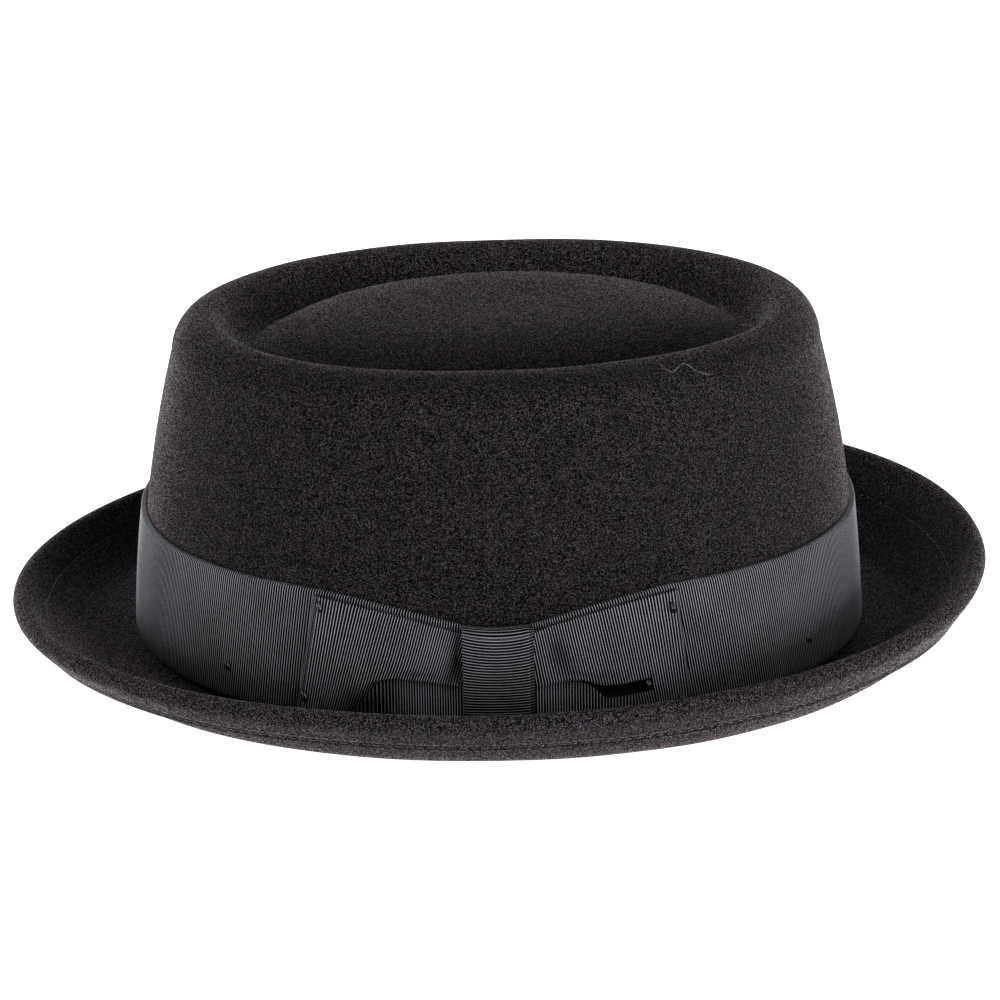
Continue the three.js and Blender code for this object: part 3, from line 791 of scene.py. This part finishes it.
def make_bow_mesh():
    turn_reach = BOW_HALF_LENGTH - RIBBON_THICKNESS
    outer_turn, inner_turn = RIBBON_THICKNESS + SEAT_GAP / 2, SEAT_GAP / 2
    middle = OVER_BAND + outer_turn
    left_count = round(turn_reach / LEFT_RIB_PITCH) * RIB_SAMPLES
    right_count = round(turn_reach / RIB_PITCH) * RIB_SAMPLES
    reach = np.concatenate([
        np.linspace(-turn_reach, 0, left_count + 1)[:-1],
        np.linspace(0, turn_reach, right_count + 1),
    ])
    phase = np.arange(len(reach)) / RIB_SAMPLES
    ribs = rib_profile(phase)
    lean = fold_at(reach)[5]
    at_fold = reach
    # The fold's height depends on where the leaning rib meets it, so the two are brought together.
    for _ in range(3):
        at_fold = leant_reach(reach, fold_at(at_fold)[0], fold_at(at_fold)[0], lean)
    fold, lip, body, slot, low, _ = fold_at(at_fold)
    place = np.linspace(0, 1, BOW_ROWS)
    at_top = leant_reach(reach, BAND_WIDTH * TOP_LEVEL, fold, lean)
    at_foot = leant_reach(reach, 0, fold, lean)
    top, bottom = bow_top(at_top), bow_bottom(at_foot)
    outer = back_offset(at_fold) + LAYER_STEP + RIBBON_THICKNESS
    puff = puff_at(at_fold)

    def stands_out(height):
        below = FOLD_SHARE * (height - bottom) / np.maximum(fold - bottom, LEAST_DROP)
        above = mix(FOLD_SHARE, 1, (height - fold) / (top - fold))
        share = np.clip(np.where(height < fold, below, above), 0, 1)
        parts = smooth_rows(FRONT_BODY[:, 0], FRONT_BODY[:, 1:], share.ravel())
        return body * parts[:, 0].reshape(share.shape) + puff * parts[:, 1].reshape(share.shape)

    grip = np.clip(slot / MM, 0, 1) * np.clip(lip / MM, 0, 1)
    edge = FOLD_LIP * grip
    tuck = FOLD_TUCK * grip
    # Control points up the front layer: share of its rows, height and how far it stands out.
    controls = [
        (0.00, bottom, 0),
        (0.10, mix(bottom, fold - slot, 0.5), 0.7 * low),
        (0.20, mix(bottom, fold - slot, 0.93), low),
        (0.23, fold - slot, 0.75 * low),
        (0.26, fold - slot * 0.85, 0.05 * low),
        (0.31, fold + tuck * 0.85, 0),
        (0.36, fold + tuck * 0.62, 0.25 * lip),
        (0.41, fold - edge * 0.1, 0.55 * lip),
        (0.44, fold - edge * 0.75, 0.8 * lip),
        (0.48, fold - edge * 0.3, lip),
    ]
    above_lip = [
        # share of the rows, height, share of the lip
        (0.53, fold + 1.3 * MM, 0.8),
        (0.60, mix(fold, top, 0.2), 0.35),
        (0.74, mix(fold, top, 0.45), 0.05),
        (0.88, mix(fold, top, 0.75), 0),
        (0.97, top - 1.1 * MM, 0),
    ]
    controls += [(at, height, mix(stands_out(height), lip, share)) for at, height, share in above_lip]
    controls.append((1.00, top, 0))
    places = np.array([control[0] for control in controls])
    heights, outs = (np.array([control[i] + 0 * reach for control in controls]) for i in (1, 2))
    folded_height, folded_out = smooth_rows(places, heights, place), smooth_rows(places, outs, place)
    flat_height = mix(bottom, top, place[:, None])
    opened = ease(lip / OPEN_FROM) * ease(slot / OPEN_FROM)
    height = mix(flat_height, folded_height, opened)
    out = mix(stands_out(flat_height), folded_out, opened)
    out = out + MM * marks_at(FRONT_SWELLS, reach, height)
    across = leant_reach(reach, height, fold, lean)
    # Painted shade in the slot under the lip and deeper in its pocket, and in soft patches beside the
    # knot and under the left fold.
    in_slot = np.clip(1 - np.abs(place - SLOT_PLACE) / SLOT_REACH, 0, 1)[:, None] * opened
    pocket_painted_shade = ease((slot - POCKET_FROM) / POCKET_FROM) * ease(in_slot * 1.6)
    hidden = np.clip(pocket_painted_shade + SLOT_PAINTED_SHADE * in_slot + marks_at(FRONT_PAINTED_SHADES, reach, height), 0, 1)
    selvedge = np.clip(np.minimum(place, 1 - place) / SELVEDGE_SHARE, 0, 1)[:, None]
    rib = RIB_HEIGHT * ribs * mix(0.5, 1, selvedge) - RIB_HEIGHT

    def on_bow(at_reach, at_height, offset):
        return over_wall(BOW_CENTRE + at_reach, at_height, offset)

    face = on_bow(across, height, outer + out)
    off = np.cross(np.gradient(face, axis=1), np.gradient(face, axis=0))
    # Where the cloth is folded tight its own direction is unsteady, so some of the wall's is mixed in.
    off_wall = np.array([0, -1, 0.2])
    off = mix(off_wall, off / (np.linalg.norm(off, axis=2, keepdims=True) + 1e-12), FACE_SHARE)
    off = off / np.linalg.norm(off, axis=2, keepdims=True)
    face = face + off * rib[..., None]
    behind_height = mix(bottom, top, place[::-1, None])
    behind_reach = leant_reach(reach, behind_height, fold, lean)
    behind = on_bow(behind_reach, behind_height, back_offset(reach) + LAYER_STEP)
    front = list(np.concatenate([face, behind]).swapaxes(0, 1))

    def plain_section(outside, inside):
        section = []
        for (at, offset), order in ((outside, 1), (inside, -1)):
            near = np.array(math.copysign(min(abs(at), turn_reach), at))
            fold_here, lean_here = fold_at(near)[0], fold_at(near)[5]
            above = leant_reach(near, BAND_WIDTH * TOP_LEVEL, fold_here, lean_here)
            sunk = BACK_BELOW_TOP * ease((turn_reach - abs(at)) / BACK_DROP_REACH)
            up = mix(bow_bottom(near), bow_top(above) - sunk, place[::order])
            leant = leant_reach(np.full(BOW_ROWS, near), up, fold_here, lean_here)
            section.append(on_bow(leant + at - near, up, np.full(BOW_ROWS, offset)))
        return np.concatenate(section)

    def turned_end(side):
        sections = []
        for step in range(1, BOW_TURN_STEPS):
            angle = math.pi * step / BOW_TURN_STEPS
            ribbed = outer_turn + RIB_HEIGHT * (rib_profile(step / 4) - 1)
            faces = [(side * (turn_reach + radius * math.sin(angle)), middle + radius * math.cos(angle))
                     for radius in (ribbed, inner_turn)]
            sections.append(plain_section(*faces))
        return sections

    back = []
    for at in np.linspace(turn_reach, -turn_reach, BOW_BACK_STEPS + 1):
        offset = float(back_offset(np.array(at)))
        back.append(plain_section((at, offset), (at, offset + RIBBON_THICKNESS)))
    right, left = turned_end(1), turned_end(-1)[::-1]
    round_turn = [math.pi * outer_turn / BOW_TURN_STEPS] * len(right)
    steps = round_turn + [2 * turn_reach / BOW_BACK_STEPS] * len(back) + round_turn
    travel = np.concatenate([phase * RIB_PITCH, phase[-1] * RIB_PITCH + np.cumsum(steps)])
    rows = np.concatenate([place, place[::-1]]) * BAND_WIDTH
    cloth = np.stack(np.meshgrid(travel, rows, indexing="ij"), axis=2)
    # The bow's back, turned ends and inside get an even painted shade, and its front face the painted
    # shade worked out above.
    shade = np.full(cloth.shape[:2], UNSEEN_PAINTED_SHADE)
    shade[:len(reach), :BOW_ROWS] = hidden.T
    sections = np.array(front + right + back + left) + PLACE
    return store_shade(skin_mesh("bow_ribbon_folded", sections, wrap=True, uv=cloth), "hidden", shade)


bow_ribbon = add_piece("bow_ribbon_folded", make_bow_mesh(), ribbon_material)
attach(bow_ribbon, "root")
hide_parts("bow_ribbon")


# Knot: a short ribbon wrapped round the bow's waist and closed behind it. Its ribs run level,
# and the woven edge shows as a narrow strip on its right.
KNOT_RIB_PITCH = 0.79 * MM
KNOT_SAG = 1.1 * MM
KNOT_RISE = 0.7 * MM
KNOT_BELLY = 0.9 * MM
KNOT_STRIP = 0.865
KNOT_CORNER = 1.7 * MM
KNOT_CROWNING = 0.35 * MM
KNOT_SELVEDGE_FROM = 0.95
KNOT_SELVEDGE_SINK = 0.25 * MM
KNOT_STRIP_SINK = 0.2 * MM
# How much darker the knot's cloth is made all over and on its strip, and the painted shade towards its
# foot.
KNOT_SHADE = 0.12
KNOT_STRIP_SHADE = 0.5
KNOT_FOOT_PAINTED_SHADE = 0.3


def knot_outline(low, high, back, front, corner, count):
    """Even points round the knot's section, a rounded rectangle, as heights and offsets."""
    quarter = np.linspace(0, math.pi / 2, 9)
    pieces = []
    centres = (
        (high - corner, front - corner),
        (high - corner, back + corner),
        (low + corner, back + corner),
        (low + corner, front - corner),
    )
    for quadrant, (height, offset) in enumerate(centres):
        angle = quarter + quadrant * math.pi / 2
        turn = height + corner * np.sin(angle), offset + corner * np.cos(angle)
        pieces.append(np.stack(turn, axis=1))
    loop = np.concatenate(pieces + [pieces[0][:1]])
    travel = np.concatenate([[0], np.linalg.norm(np.diff(loop, axis=0), axis=1).cumsum()])
    at = np.arange(count) * travel[-1] / count
    return np.stack([np.interp(at, travel, column) for column in loop.T], axis=1), travel[-1]


def make_knot_mesh():
    front_inner = OVER_BAND + 3 * LAYER_STEP
    bottom = WAIST_BOTTOM - SEAT_GAP
    top = float(bow_top(np.array(KNOT_HALF_WIDTH))) + SEAT_GAP + KNOT_RISE
    thick = RIBBON_THICKNESS
    around = (bottom - thick, top + thick, OVER_BAND, front_inner + thick, KNOT_CORNER)
    count = round(knot_outline(*around, 8)[1] / KNOT_RIB_PITCH) * RIB_SAMPLES
    outside = knot_outline(*around, count)[0]
    inside = knot_outline(bottom, top, OVER_BAND + thick, front_inner, KNOT_CORNER - thick, count)[0]
    phase = np.arange(count) / RIB_SAMPLES
    ribs = rib_profile(phase)
    step = np.roll(outside, -1, 0) - np.roll(outside, 1, 0)
    normal = np.stack([-step[:, 1], step[:, 0]], axis=1) / np.linalg.norm(step, axis=1, keepdims=True)
    rings, cloth, hidden = [], [], []
    level = np.clip((outside[:, 0] - bottom) / (top - bottom), 0, 1)
    belly = KNOT_BELLY * 4 * level * (1 - level) * (outside[:, 1] > front_inner)

    def add_ring(share, loop):
        sag = KNOT_SAG * (1 - share ** 2) * ease((loop[:, 0] - bottom) / (top - bottom))
        x = BOW_CENTRE + KNOT_HALF_WIDTH * share
        rings.append(over_wall(np.full(count, x), loop[:, 0] - sag, loop[:, 1]))
        cloth.append(np.stack([phase * RIB_PITCH, np.full(count, x)], axis=1))
        # The knot's cloth is made a darker tone all over and more on its strip, and painted shade darkens
        # it towards its foot.
        shade = KNOT_STRIP_SHADE if share > KNOT_STRIP else KNOT_SHADE
        hidden.append(shade + KNOT_FOOT_PAINTED_SHADE * (1 - level) ** 2)

    strip = (KNOT_STRIP - 0.01, KNOT_STRIP + 0.01, 0.955, 0.98, 1)
    for share in (-1, -0.98, -0.955, *np.linspace(-0.9, 0.8, 13), *strip):
        in_strip = share > KNOT_STRIP
        past_selvedge = max(abs(share) - KNOT_SELVEDGE_FROM, 0) / (1 - KNOT_SELVEDGE_FROM)
        rib_share = 0.5 if past_selvedge or in_strip else 1.0
        sunk = KNOT_SELVEDGE_SINK * past_selvedge + (KNOT_STRIP_SINK if in_strip else 0)
        lift = RIB_HEIGHT * (ribs * rib_share - 1) - sunk + KNOT_CROWNING * (1 - share ** 2) + belly
        add_ring(share, outside + normal * lift[:, None])
    for share in np.linspace(1, -1, 9):
        add_ring(share, inside)
    mesh = skin_mesh("bow_knot_wrap", np.array(rings) + PLACE, wrap=True, uv=np.array(cloth))
    return store_shade(mesh, "hidden", hidden)


bow_knot = add_piece("bow_knot_wrap", make_knot_mesh(), ribbon_material)
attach(bow_knot, "root")
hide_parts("bow_knot")


# Brim stitching: two rows of black thread run right round the brim, one on top where the folded
# felt ends and one beneath it close to the raw edge. Each stitch lies in the groove that it pulled.
STITCH_PITCH = 2.9 * MM
STITCH_LENGTH = 2.2 * MM
THREAD_WIDTH = 0.38 * MM
ROWS_FROM_RAW_EDGE = 3
MATERIAL = "NodeSocketMaterial"


def geometry_tree(name, inputs):
    """A Geometry Nodes tree with inputs {name: (socket type, default)}: it, its inputs and its end."""
    tree = bpy.data.node_groups.new(name, "GeometryNodeTree")
    tree.interface.new_socket("Geometry", in_out="INPUT", socket_type="NodeSocketGeometry")
    for socket, (kind, default) in inputs.items():
        made = tree.interface.new_socket(socket, in_out="INPUT", socket_type=kind)
        made.default_value = default
    tree.interface.new_socket("Material", in_out="INPUT", socket_type=MATERIAL)
    tree.interface.new_socket("Geometry", in_out="OUTPUT", socket_type="NodeSocketGeometry")
    return tree, tree.nodes.new("NodeGroupInput").outputs, tree.nodes.new("NodeGroupOutput")


def point_at(tree, x=0.0, z=0.0):
    return tree_node(tree, "ShaderNodeCombineXYZ", X=x, Z=z).outputs[0]


def bent_thread(tree, width, start, middle, end, steps, sides):
    """A thin round thread along a bend of three points, as a mesh socket."""
    bend = tree_node(tree, "GeometryNodeCurveQuadraticBezier", Resolution=steps, Start=start,
                     Middle=middle, End=end)
    radius = math_node(tree, "MULTIPLY", width, 0.5)
    section = tree_node(tree, "GeometryNodeCurvePrimitiveCircle", Resolution=sides, Radius=radius)
    thread = tree_node(tree, "GeometryNodeCurveToMesh", Curve=bend.outputs["Curve"],
                       Profile_Curve=section.outputs["Curve"], Fill_Caps=True)
    return thread.outputs["Mesh"]


def random_vector(tree, low, high, seed):
    settings = {"data_type": "FLOAT_VECTOR"}
    node = tree_node(tree, "FunctionNodeRandomValue", settings, Min=low, Max=high, Seed=seed)
    return node.outputs["Value"]


def turned(tree, rotation, low, high, seed):
    """A rotation turned about its own axes by random angles between two triples."""
    by = tree_node(tree, "FunctionNodeEulerToRotation", Euler=random_vector(tree, low, high, seed))
    node = tree_node(tree, "FunctionNodeRotateRotation", {"rotation_space": "LOCAL"}, Rotation=rotation,
                     Rotate_By=by.outputs[0])
    return node.outputs["Rotation"]


def finish_tree(tree, result, material, **placed):
    """Puts a shape on points, makes the copies real and gives them their material."""
    copies = tree_node(tree, "GeometryNodeInstanceOnPoints", **placed).outputs["Instances"]
    real = tree_node(tree, "GeometryNodeRealizeInstances", Geometry=copies).outputs["Geometry"]
    dressed = tree_node(tree, "GeometryNodeSetMaterial", Geometry=real, Material=material)
    set_sockets(tree, result, Geometry=dressed.outputs["Geometry"])
    return tree


def grow(name, base, tree, **values):
    """Runs a tree on a base mesh and gives back the result as a plain piece."""
    source = add_object(name + "_base", base)
    modifier = source.modifiers.new("grow", "NODES")
    modifier.node_group = tree
    for socket in tree.interface.items_tree:
        key = socket.name.replace(" ", "_")
        if socket.in_out == "INPUT" and key in values:
            modifier[socket.identifier] = values[key]
    depsgraph = bpy.context.evaluated_depsgraph_get()
    mesh = bpy.data.meshes.new_from_object(source.evaluated_get(depsgraph))
    source.modifiers.remove(modifier)
    bpy.data.objects.remove(source)
    mesh.shade_smooth()
    return add_object(name, mesh)


def make_stitch_tree():
    tree, given, result = geometry_tree("brim_stitches", {
        "Pitch": (NUMBER, STITCH_PITCH),
        "Length": (NUMBER, STITCH_LENGTH),
        "Thread Width": (NUMBER, THREAD_WIDTH),
    })
    width = given["Thread Width"]
    path = tree_node(tree, "GeometryNodeMeshToCurve", Mesh=given["Geometry"]).outputs["Curve"]
    spaced = tree_node(tree, "GeometryNodeResampleCurve", {"mode": "LENGTH"}, Curve=path,
                       Length=given["Pitch"])
    tangent = tree.nodes.new("GeometryNodeInputTangent").outputs[0]
    off = tree_node(tree, "GeometryNodeInputNamedAttribute", {"data_type": "FLOAT_VECTOR"}, Name="off")
    along = tree_node(tree, "FunctionNodeAlignRotationToVector", {"axis": "X"}, Vector=tangent)
    upright = tree_node(tree, "FunctionNodeAlignRotationToVector", {"axis": "Z", "pivot_axis": "X"},
                        Rotation=along.outputs[0], Vector=off.outputs["Attribute"])
    half = math_node(tree, "MULTIPLY", given["Length"], 0.5)
    low = math_node(tree, "MULTIPLY", width, -0.7)
    start, end = point_at(tree, math_node(tree, "MULTIPLY", half, -1.0), low), point_at(tree, half, low)
    middle = point_at(tree, 0.0, math_node(tree, "MULTIPLY", width, 1.3))
    stitch = bent_thread(tree, width, start, middle, end, 4, 6)
    rotation = turned(tree, upright.outputs[0], (-0.1, -0.05, -0.07), (0.1, 0.05, 0.07), 5)
    scale = random_vector(tree, (0.92, 0.9, 0.9), (1.06, 1.1, 1.1), 8)
    return finish_tree(tree, result, given["Material"], Points=spaced.outputs["Curve"], Instance=stitch,
                       Rotation=rotation, Scale=scale)


def seam_paths(rows):
    """Closed paths along rings of the felt, each point with the direction off the felt."""
    off = ring_normals(rings)[0][rows]
    points = rings[rows] + PLACE
    index = np.arange(len(rows) * FELT_TURNS).reshape(len(rows), FELT_TURNS)
    edges = np.stack([index, np.roll(index, -1, axis=1)], axis=2)
    mesh = bpy.data.meshes.new("seam_paths")
    mesh.from_pydata(points.reshape(-1, 3).tolist(), edges.reshape(-1, 2).tolist(), [])
    layer = mesh.attributes.new("off", "FLOAT_VECTOR", "POINT")
    layer.data.foreach_set("vector", off.astype(np.float32).ravel())
    return mesh


def fine_material(name, scale, breakup, dark, pale, rough_by, rough_from, specular, relief):
    """A material whose colour, roughness and relief follow one fine noise from dark to pale."""
    material, tree, shader = new_material(name)
    place = tree.nodes.new("ShaderNodeTexCoord").outputs["Object"]
    grain = noise_node(tree, place, scale, 2, breakup)
    set_sockets(tree, shader, Base_Color=ramp_node(tree, grain, [(0.35, dark), (0.65, pale)]),
                Roughness=math_node(tree, "MULTIPLY_ADD", grain, rough_by, rough_from),
                Specular_IOR_Level=specular)
    if relief > 0:
        set_sockets(tree, shader, Normal=bump_node(tree, grain, 0.5, relief))
    return material


thread_material = fine_material("black_thread", 2200.0, 0.6, (0.004, 0.004, 0.005), (0.035, 0.034, 0.038),
                                rough_by=0.3, rough_from=0.05, specular=1.0, relief=0.05 * MM)
top_row = outer_count - WELT_ROWS
under_row = outer_count + EDGE_ROWS + WELT_ROWS - 1 - ROWS_FROM_RAW_EDGE
seams = seam_paths([top_row, under_row])
brim_stitches = grow("brim_stitches", seams, make_stitch_tree(), Material=thread_material)
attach(brim_stitches, "root")


# Tack stitches: small loops of black thread that hold the bow's corners and the band to the crown,
# each two strands crossing over the ribbon's edge.
TACK_HALF_LENGTH = 1.4 * MM
TACK_THREAD_RADIUS = 0.28 * MM
TACK_APART = 0.3 * MM
TACK_CROSSING = 0.28 * MM
TACK_ARCH = 0.62 * MM
TACK_ENDS_SUNK = 0.3 * MM
TACK_OVERLAP = 0.06 * MM
TACKS = MM * np.array([
    # along the hat, height, off the wall
    (-53.4, 31.2, 4.1),
    (-57.9, 6.2, 3.9),
    (41.4, 29.6, 4.4),
    (43.6, 4.4, 4.5),
    (34.3, 10.2, 5.6),
    (-78.3, 9.0, 1.6),
    (81.4, 9.3, 1.6),
])


def tube_mesh(name, paths, radius, sides=6):
    """Round threads along paths of points, closed at both ends, in one mesh."""
    vertices, faces = [], []
    turn = np.arange(sides) * 2 * math.pi / sides
    for path in paths:
        along = np.gradient(path, axis=0)
        along /= np.linalg.norm(along, axis=1, keepdims=True)
        aside = np.cross(along, (0.31, -0.2, 0.93))
        aside /= np.linalg.norm(aside, axis=1, keepdims=True)
        above = np.cross(along, aside)
        around = aside[:, None] * np.cos(turn)[:, None] + above[:, None] * np.sin(turn)[:, None]
        first = len(vertices)
        vertices += (path[:, None] + radius * around).reshape(-1, 3).tolist()
        last = len(vertices) - sides
        for corner in range(first, last):
            after = corner + 1 if (corner - first) % sides < sides - 1 else corner + 1 - sides
            faces.append([corner, after, after + sides, corner + sides])
        faces.append(list(range(first + sides - 1, first - 1, -1)))
        faces.append(list(range(last, last + sides)))
    mesh = bpy.data.meshes.new(name)
    mesh.from_pydata(vertices, [], faces)
    mesh.shade_smooth()
    mesh.validate()
    return mesh


def tack_paths():
    up = np.linspace(-1, 1, 11)
    paths = []
    for x, height, offset in TACKS:
        for side in (-1, 1):
            across = x + side * TACK_APART - TACK_CROSSING * up
            out = offset + TACK_ARCH * np.cos(up * math.pi / 2) - TACK_ENDS_SUNK + TACK_OVERLAP * side
            paths.append(over_wall(across, height + up * TACK_HALF_LENGTH, out) + PLACE)
    return paths


tack_mesh = tube_mesh("tack_stitches", tack_paths(), TACK_THREAD_RADIUS)
tack_stitches = add_piece("tack_stitches", tack_mesh, thread_material)
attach(tack_stitches, "root")


# Nap: loose ends of wool that stand off the felt all over the hat and show along its outline.
# They are part of the felt itself, raised when it was brushed.
NAP_PER_SQUARE_METRE = 68000.0
NAP_LENGTH = 1.0 * MM
NAP_WIDTH = 0.05 * MM
NAP_ROOT = 0.1 * MM


def scatter_tree(name, density, seed, **sizes):
    """A tree that spreads points over a mesh: it, its inputs, its end and the points' outputs."""
    tree, given, result = geometry_tree(name, {
        "Density": (NUMBER, density),
        **{size: (NUMBER, value) for size, value in sizes.items()},
        "Seed": ("NodeSocketInt", seed),
    })
    spread = tree_node(tree, "GeometryNodeDistributePointsOnFaces", Mesh=given["Geometry"],
                       Density=given["Density"], Seed=given["Seed"])
    return tree, given, result, spread.outputs


def make_nap_tree():
    tree, given, result, spread = scatter_tree("wool_nap", NAP_PER_SQUARE_METRE, 17, Length=NAP_LENGTH,
                                               Width=NAP_WIDTH)
    length = given["Length"]
    half, high, low = (math_node(tree, "MULTIPLY", length, share) for share in (0.5, 0.4, 0.12))
    places = point_at(tree, 0.0, -NAP_ROOT), point_at(tree, half, high), point_at(tree, length, low)
    hair = bent_thread(tree, given["Width"], *places, 3, 3)
    rotation = turned(tree, spread["Rotation"], (-0.5, -0.75, 0.0), (0.5, 0.0, 6.28), 23)
    scale = random_vector(tree, (0.5, 0.8, 0.5), (1.25, 1.1, 1.25), 29)
    return finish_tree(tree, result, given["Material"], Points=spread["Points"], Instance=hair,
                       Rotation=rotation, Scale=scale)


nap_base = skin_mesh("nap_base", (rings + PLACE)[:outer_count + EDGE_ROWS + 4:3, ::5])
wool_nap = grow("wool_nap", nap_base, make_nap_tree(), Material=felt_material)
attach(wool_nap, "root")


# Lint: pale specks of dust and short fluff caught in the wool, and one stray hair that lies loose
# over the near side of the rim.
LINT_PER_SQUARE_METRE = 2600.0
LINT_SIZE = 0.055 * MM
HAIR_RADIUS = 0.028 * MM
STRAY_HAIR = MM * np.array([
    # along the hat, across it, height over the brim break
    (39.8, -56.6, 90.6), (41.0, -57.4, 89.9), (42.3, -58.3, 89.0), (43.4, -58.6, 88.7),
    (44.3, -57.9, 89.2), (45.3, -56.7, 89.8), (46.4, -55.8, 90.1), (47.5, -55.7, 89.8),
    (48.6, -56.0, 89.0), (49.8, -56.3, 88.2), (51.2, -56.3, 87.6), (52.4, -56.1, 87.1),
    (53.6, -55.8, 86.7),
])
STRAY_HAIR_STEPS = 40


def make_lint_tree():
    tree, given, result, spread = scatter_tree("lint_specks", LINT_PER_SQUARE_METRE, 4, Size=LINT_SIZE)
    speck = tree_node(tree, "GeometryNodeMeshIcoSphere", Radius=given["Size"], Subdivisions=1)
    rotation = turned(tree, spread["Rotation"], (0.0, 0.0, 0.0), (0.3, 0.3, 6.28), 31)
    scale = random_vector(tree, (0.6, 0.6, 0.5), (5.0, 1.3, 1.0), 37)
    return finish_tree(tree, result, given["Material"], Points=spread["Points"],
                       Instance=speck.outputs["Mesh"], Rotation=rotation, Scale=scale)


def stray_hair_path():
    points = np.arange(len(STRAY_HAIR))
    return smooth_rows(points, STRAY_HAIR, np.linspace(0, len(points) - 1, STRAY_HAIR_STEPS)) + PLACE


lint_material = fine_material("pale_lint", 400.0, 0.5, (0.30, 0.28, 0.26), (0.75, 0.74, 0.74),
                              rough_by=0.2, rough_from=0.75, specular=0.1, relief=0)
lint_specks = grow("lint_specks", nap_base, make_lint_tree(), Material=lint_material)
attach(lint_specks, "root")
hair_mesh = tube_mesh("stray_hair", [stray_hair_path()], HAIR_RADIUS, 5)
stray_hair = add_piece("stray_hair", hair_mesh, lint_material)
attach(stray_hair, "root")


# Studio: a pale floor that glows so that it renders white, low soft strips at the left and right,
# softboxes at the front right, behind and above, and a dim room round them. The camera stands
# where the hat's outlines come closest to those in the photograph.
CAMERA_AZIMUTH = math.radians(-3.83)
CAMERA_ELEVATION = math.radians(20.56)
CAMERA_ROLL = math.radians(-0.58)
CAMERA_DISTANCE = 1.3
CAMERA_TARGET = Vector((0.0004, 0, 0.0371))
PIXELS_PER_METRE = 3525
IMAGE_WIDTH = 1000
SENSOR_WIDTH = 36
FLOOR_HALF_SIZE = 12
SOFTBOXES = (
    # name, place, height that it aims at, size, power
    ("strip_left", (-1.2, -0.3, 0.17), 0.03, (0.8, 0.3), 6.0),
    ("strip_right", (1.05, -0.65, 0.17), 0.03, (0.8, 0.3), 6.2),
    ("softbox_front_right", (0.8, -1.1, 0.6), 0.05, (0.6, 0.7), 5.6),
    ("softbox_back_left", (-1.0, 0.8, 0.6), 0.05, (0.6, 0.8), 6.0),
    ("softbox_back", (0.0, 1.2, 0.7), 0.05, (1.2, 0.4), 5.0),
    ("softbox_above", (0.0, -0.7, 1.2), 0.05, (1.2, 0.6), 3.0),
)


def add_camera():
    back = Vector((
        math.sin(CAMERA_AZIMUTH) * math.cos(CAMERA_ELEVATION),
        -math.cos(CAMERA_AZIMUTH) * math.cos(CAMERA_ELEVATION),
        math.sin(CAMERA_ELEVATION),
    ))
    level_right = Vector((0, 0, 1)).cross(back).normalized()
    level_up = back.cross(level_right)
    right = level_right * math.cos(CAMERA_ROLL) + level_up * math.sin(CAMERA_ROLL)
    up = back.cross(right)
    data = bpy.data.cameras.new("camera")
    data.sensor_width = SENSOR_WIDTH
    data.lens = PIXELS_PER_METRE * CAMERA_DISTANCE * SENSOR_WIDTH / IMAGE_WIDTH
    camera = add_object("camera", data)
    turn = Matrix((right, up, back)).transposed().to_4x4()
    camera.matrix_world = Matrix.Translation(CAMERA_TARGET + back * CAMERA_DISTANCE) @ turn
    bpy.context.scene.camera = camera


def add_softbox(name, place, aim, size, power):
    data = bpy.data.lights.new(name, "AREA")
    data.shape = "RECTANGLE"
    data.size, data.size_y = size
    data.energy = power
    light = add_object(name, data)
    light.location = place
    light.rotation_euler = (Vector((0, 0, aim)) - Vector(place)).to_track_quat("-Z", "Y").to_euler()


def add_floor():
    corners = np.array([(-1, -1, 0), (1, -1, 0), (1, 1, 0), (-1, 1, 0)]) * FLOOR_HALF_SIZE
    mesh = bpy.data.meshes.new("floor")
    mesh.from_pydata(corners.tolist(), [], [(0, 1, 2, 3)])
    material, tree, shader = new_material("pale_floor")
    set_sockets(tree, shader, Base_Color=(0.86, 0.86, 0.86, 1), Roughness=0.8, Specular_IOR_Level=0.1,
                Emission_Color=(1, 1, 1, 1), Emission_Strength=0.85)
    floor = add_piece("floor", mesh, material)


add_camera()
add_floor()
for softbox in SOFTBOXES:
    add_softbox(*softbox)
world = bpy.data.worlds.new("dim_room")
bpy.context.scene.world = world
world.use_nodes = True
room = world.node_tree
set_sockets(room, room.nodes["Background"], Color=(0.96, 0.97, 1.0, 1), Strength=0.08)
bpy.context.scene.view_settings.view_transform = "Standard"
bpy.context.scene.view_settings.look = "Medium High Contrast"
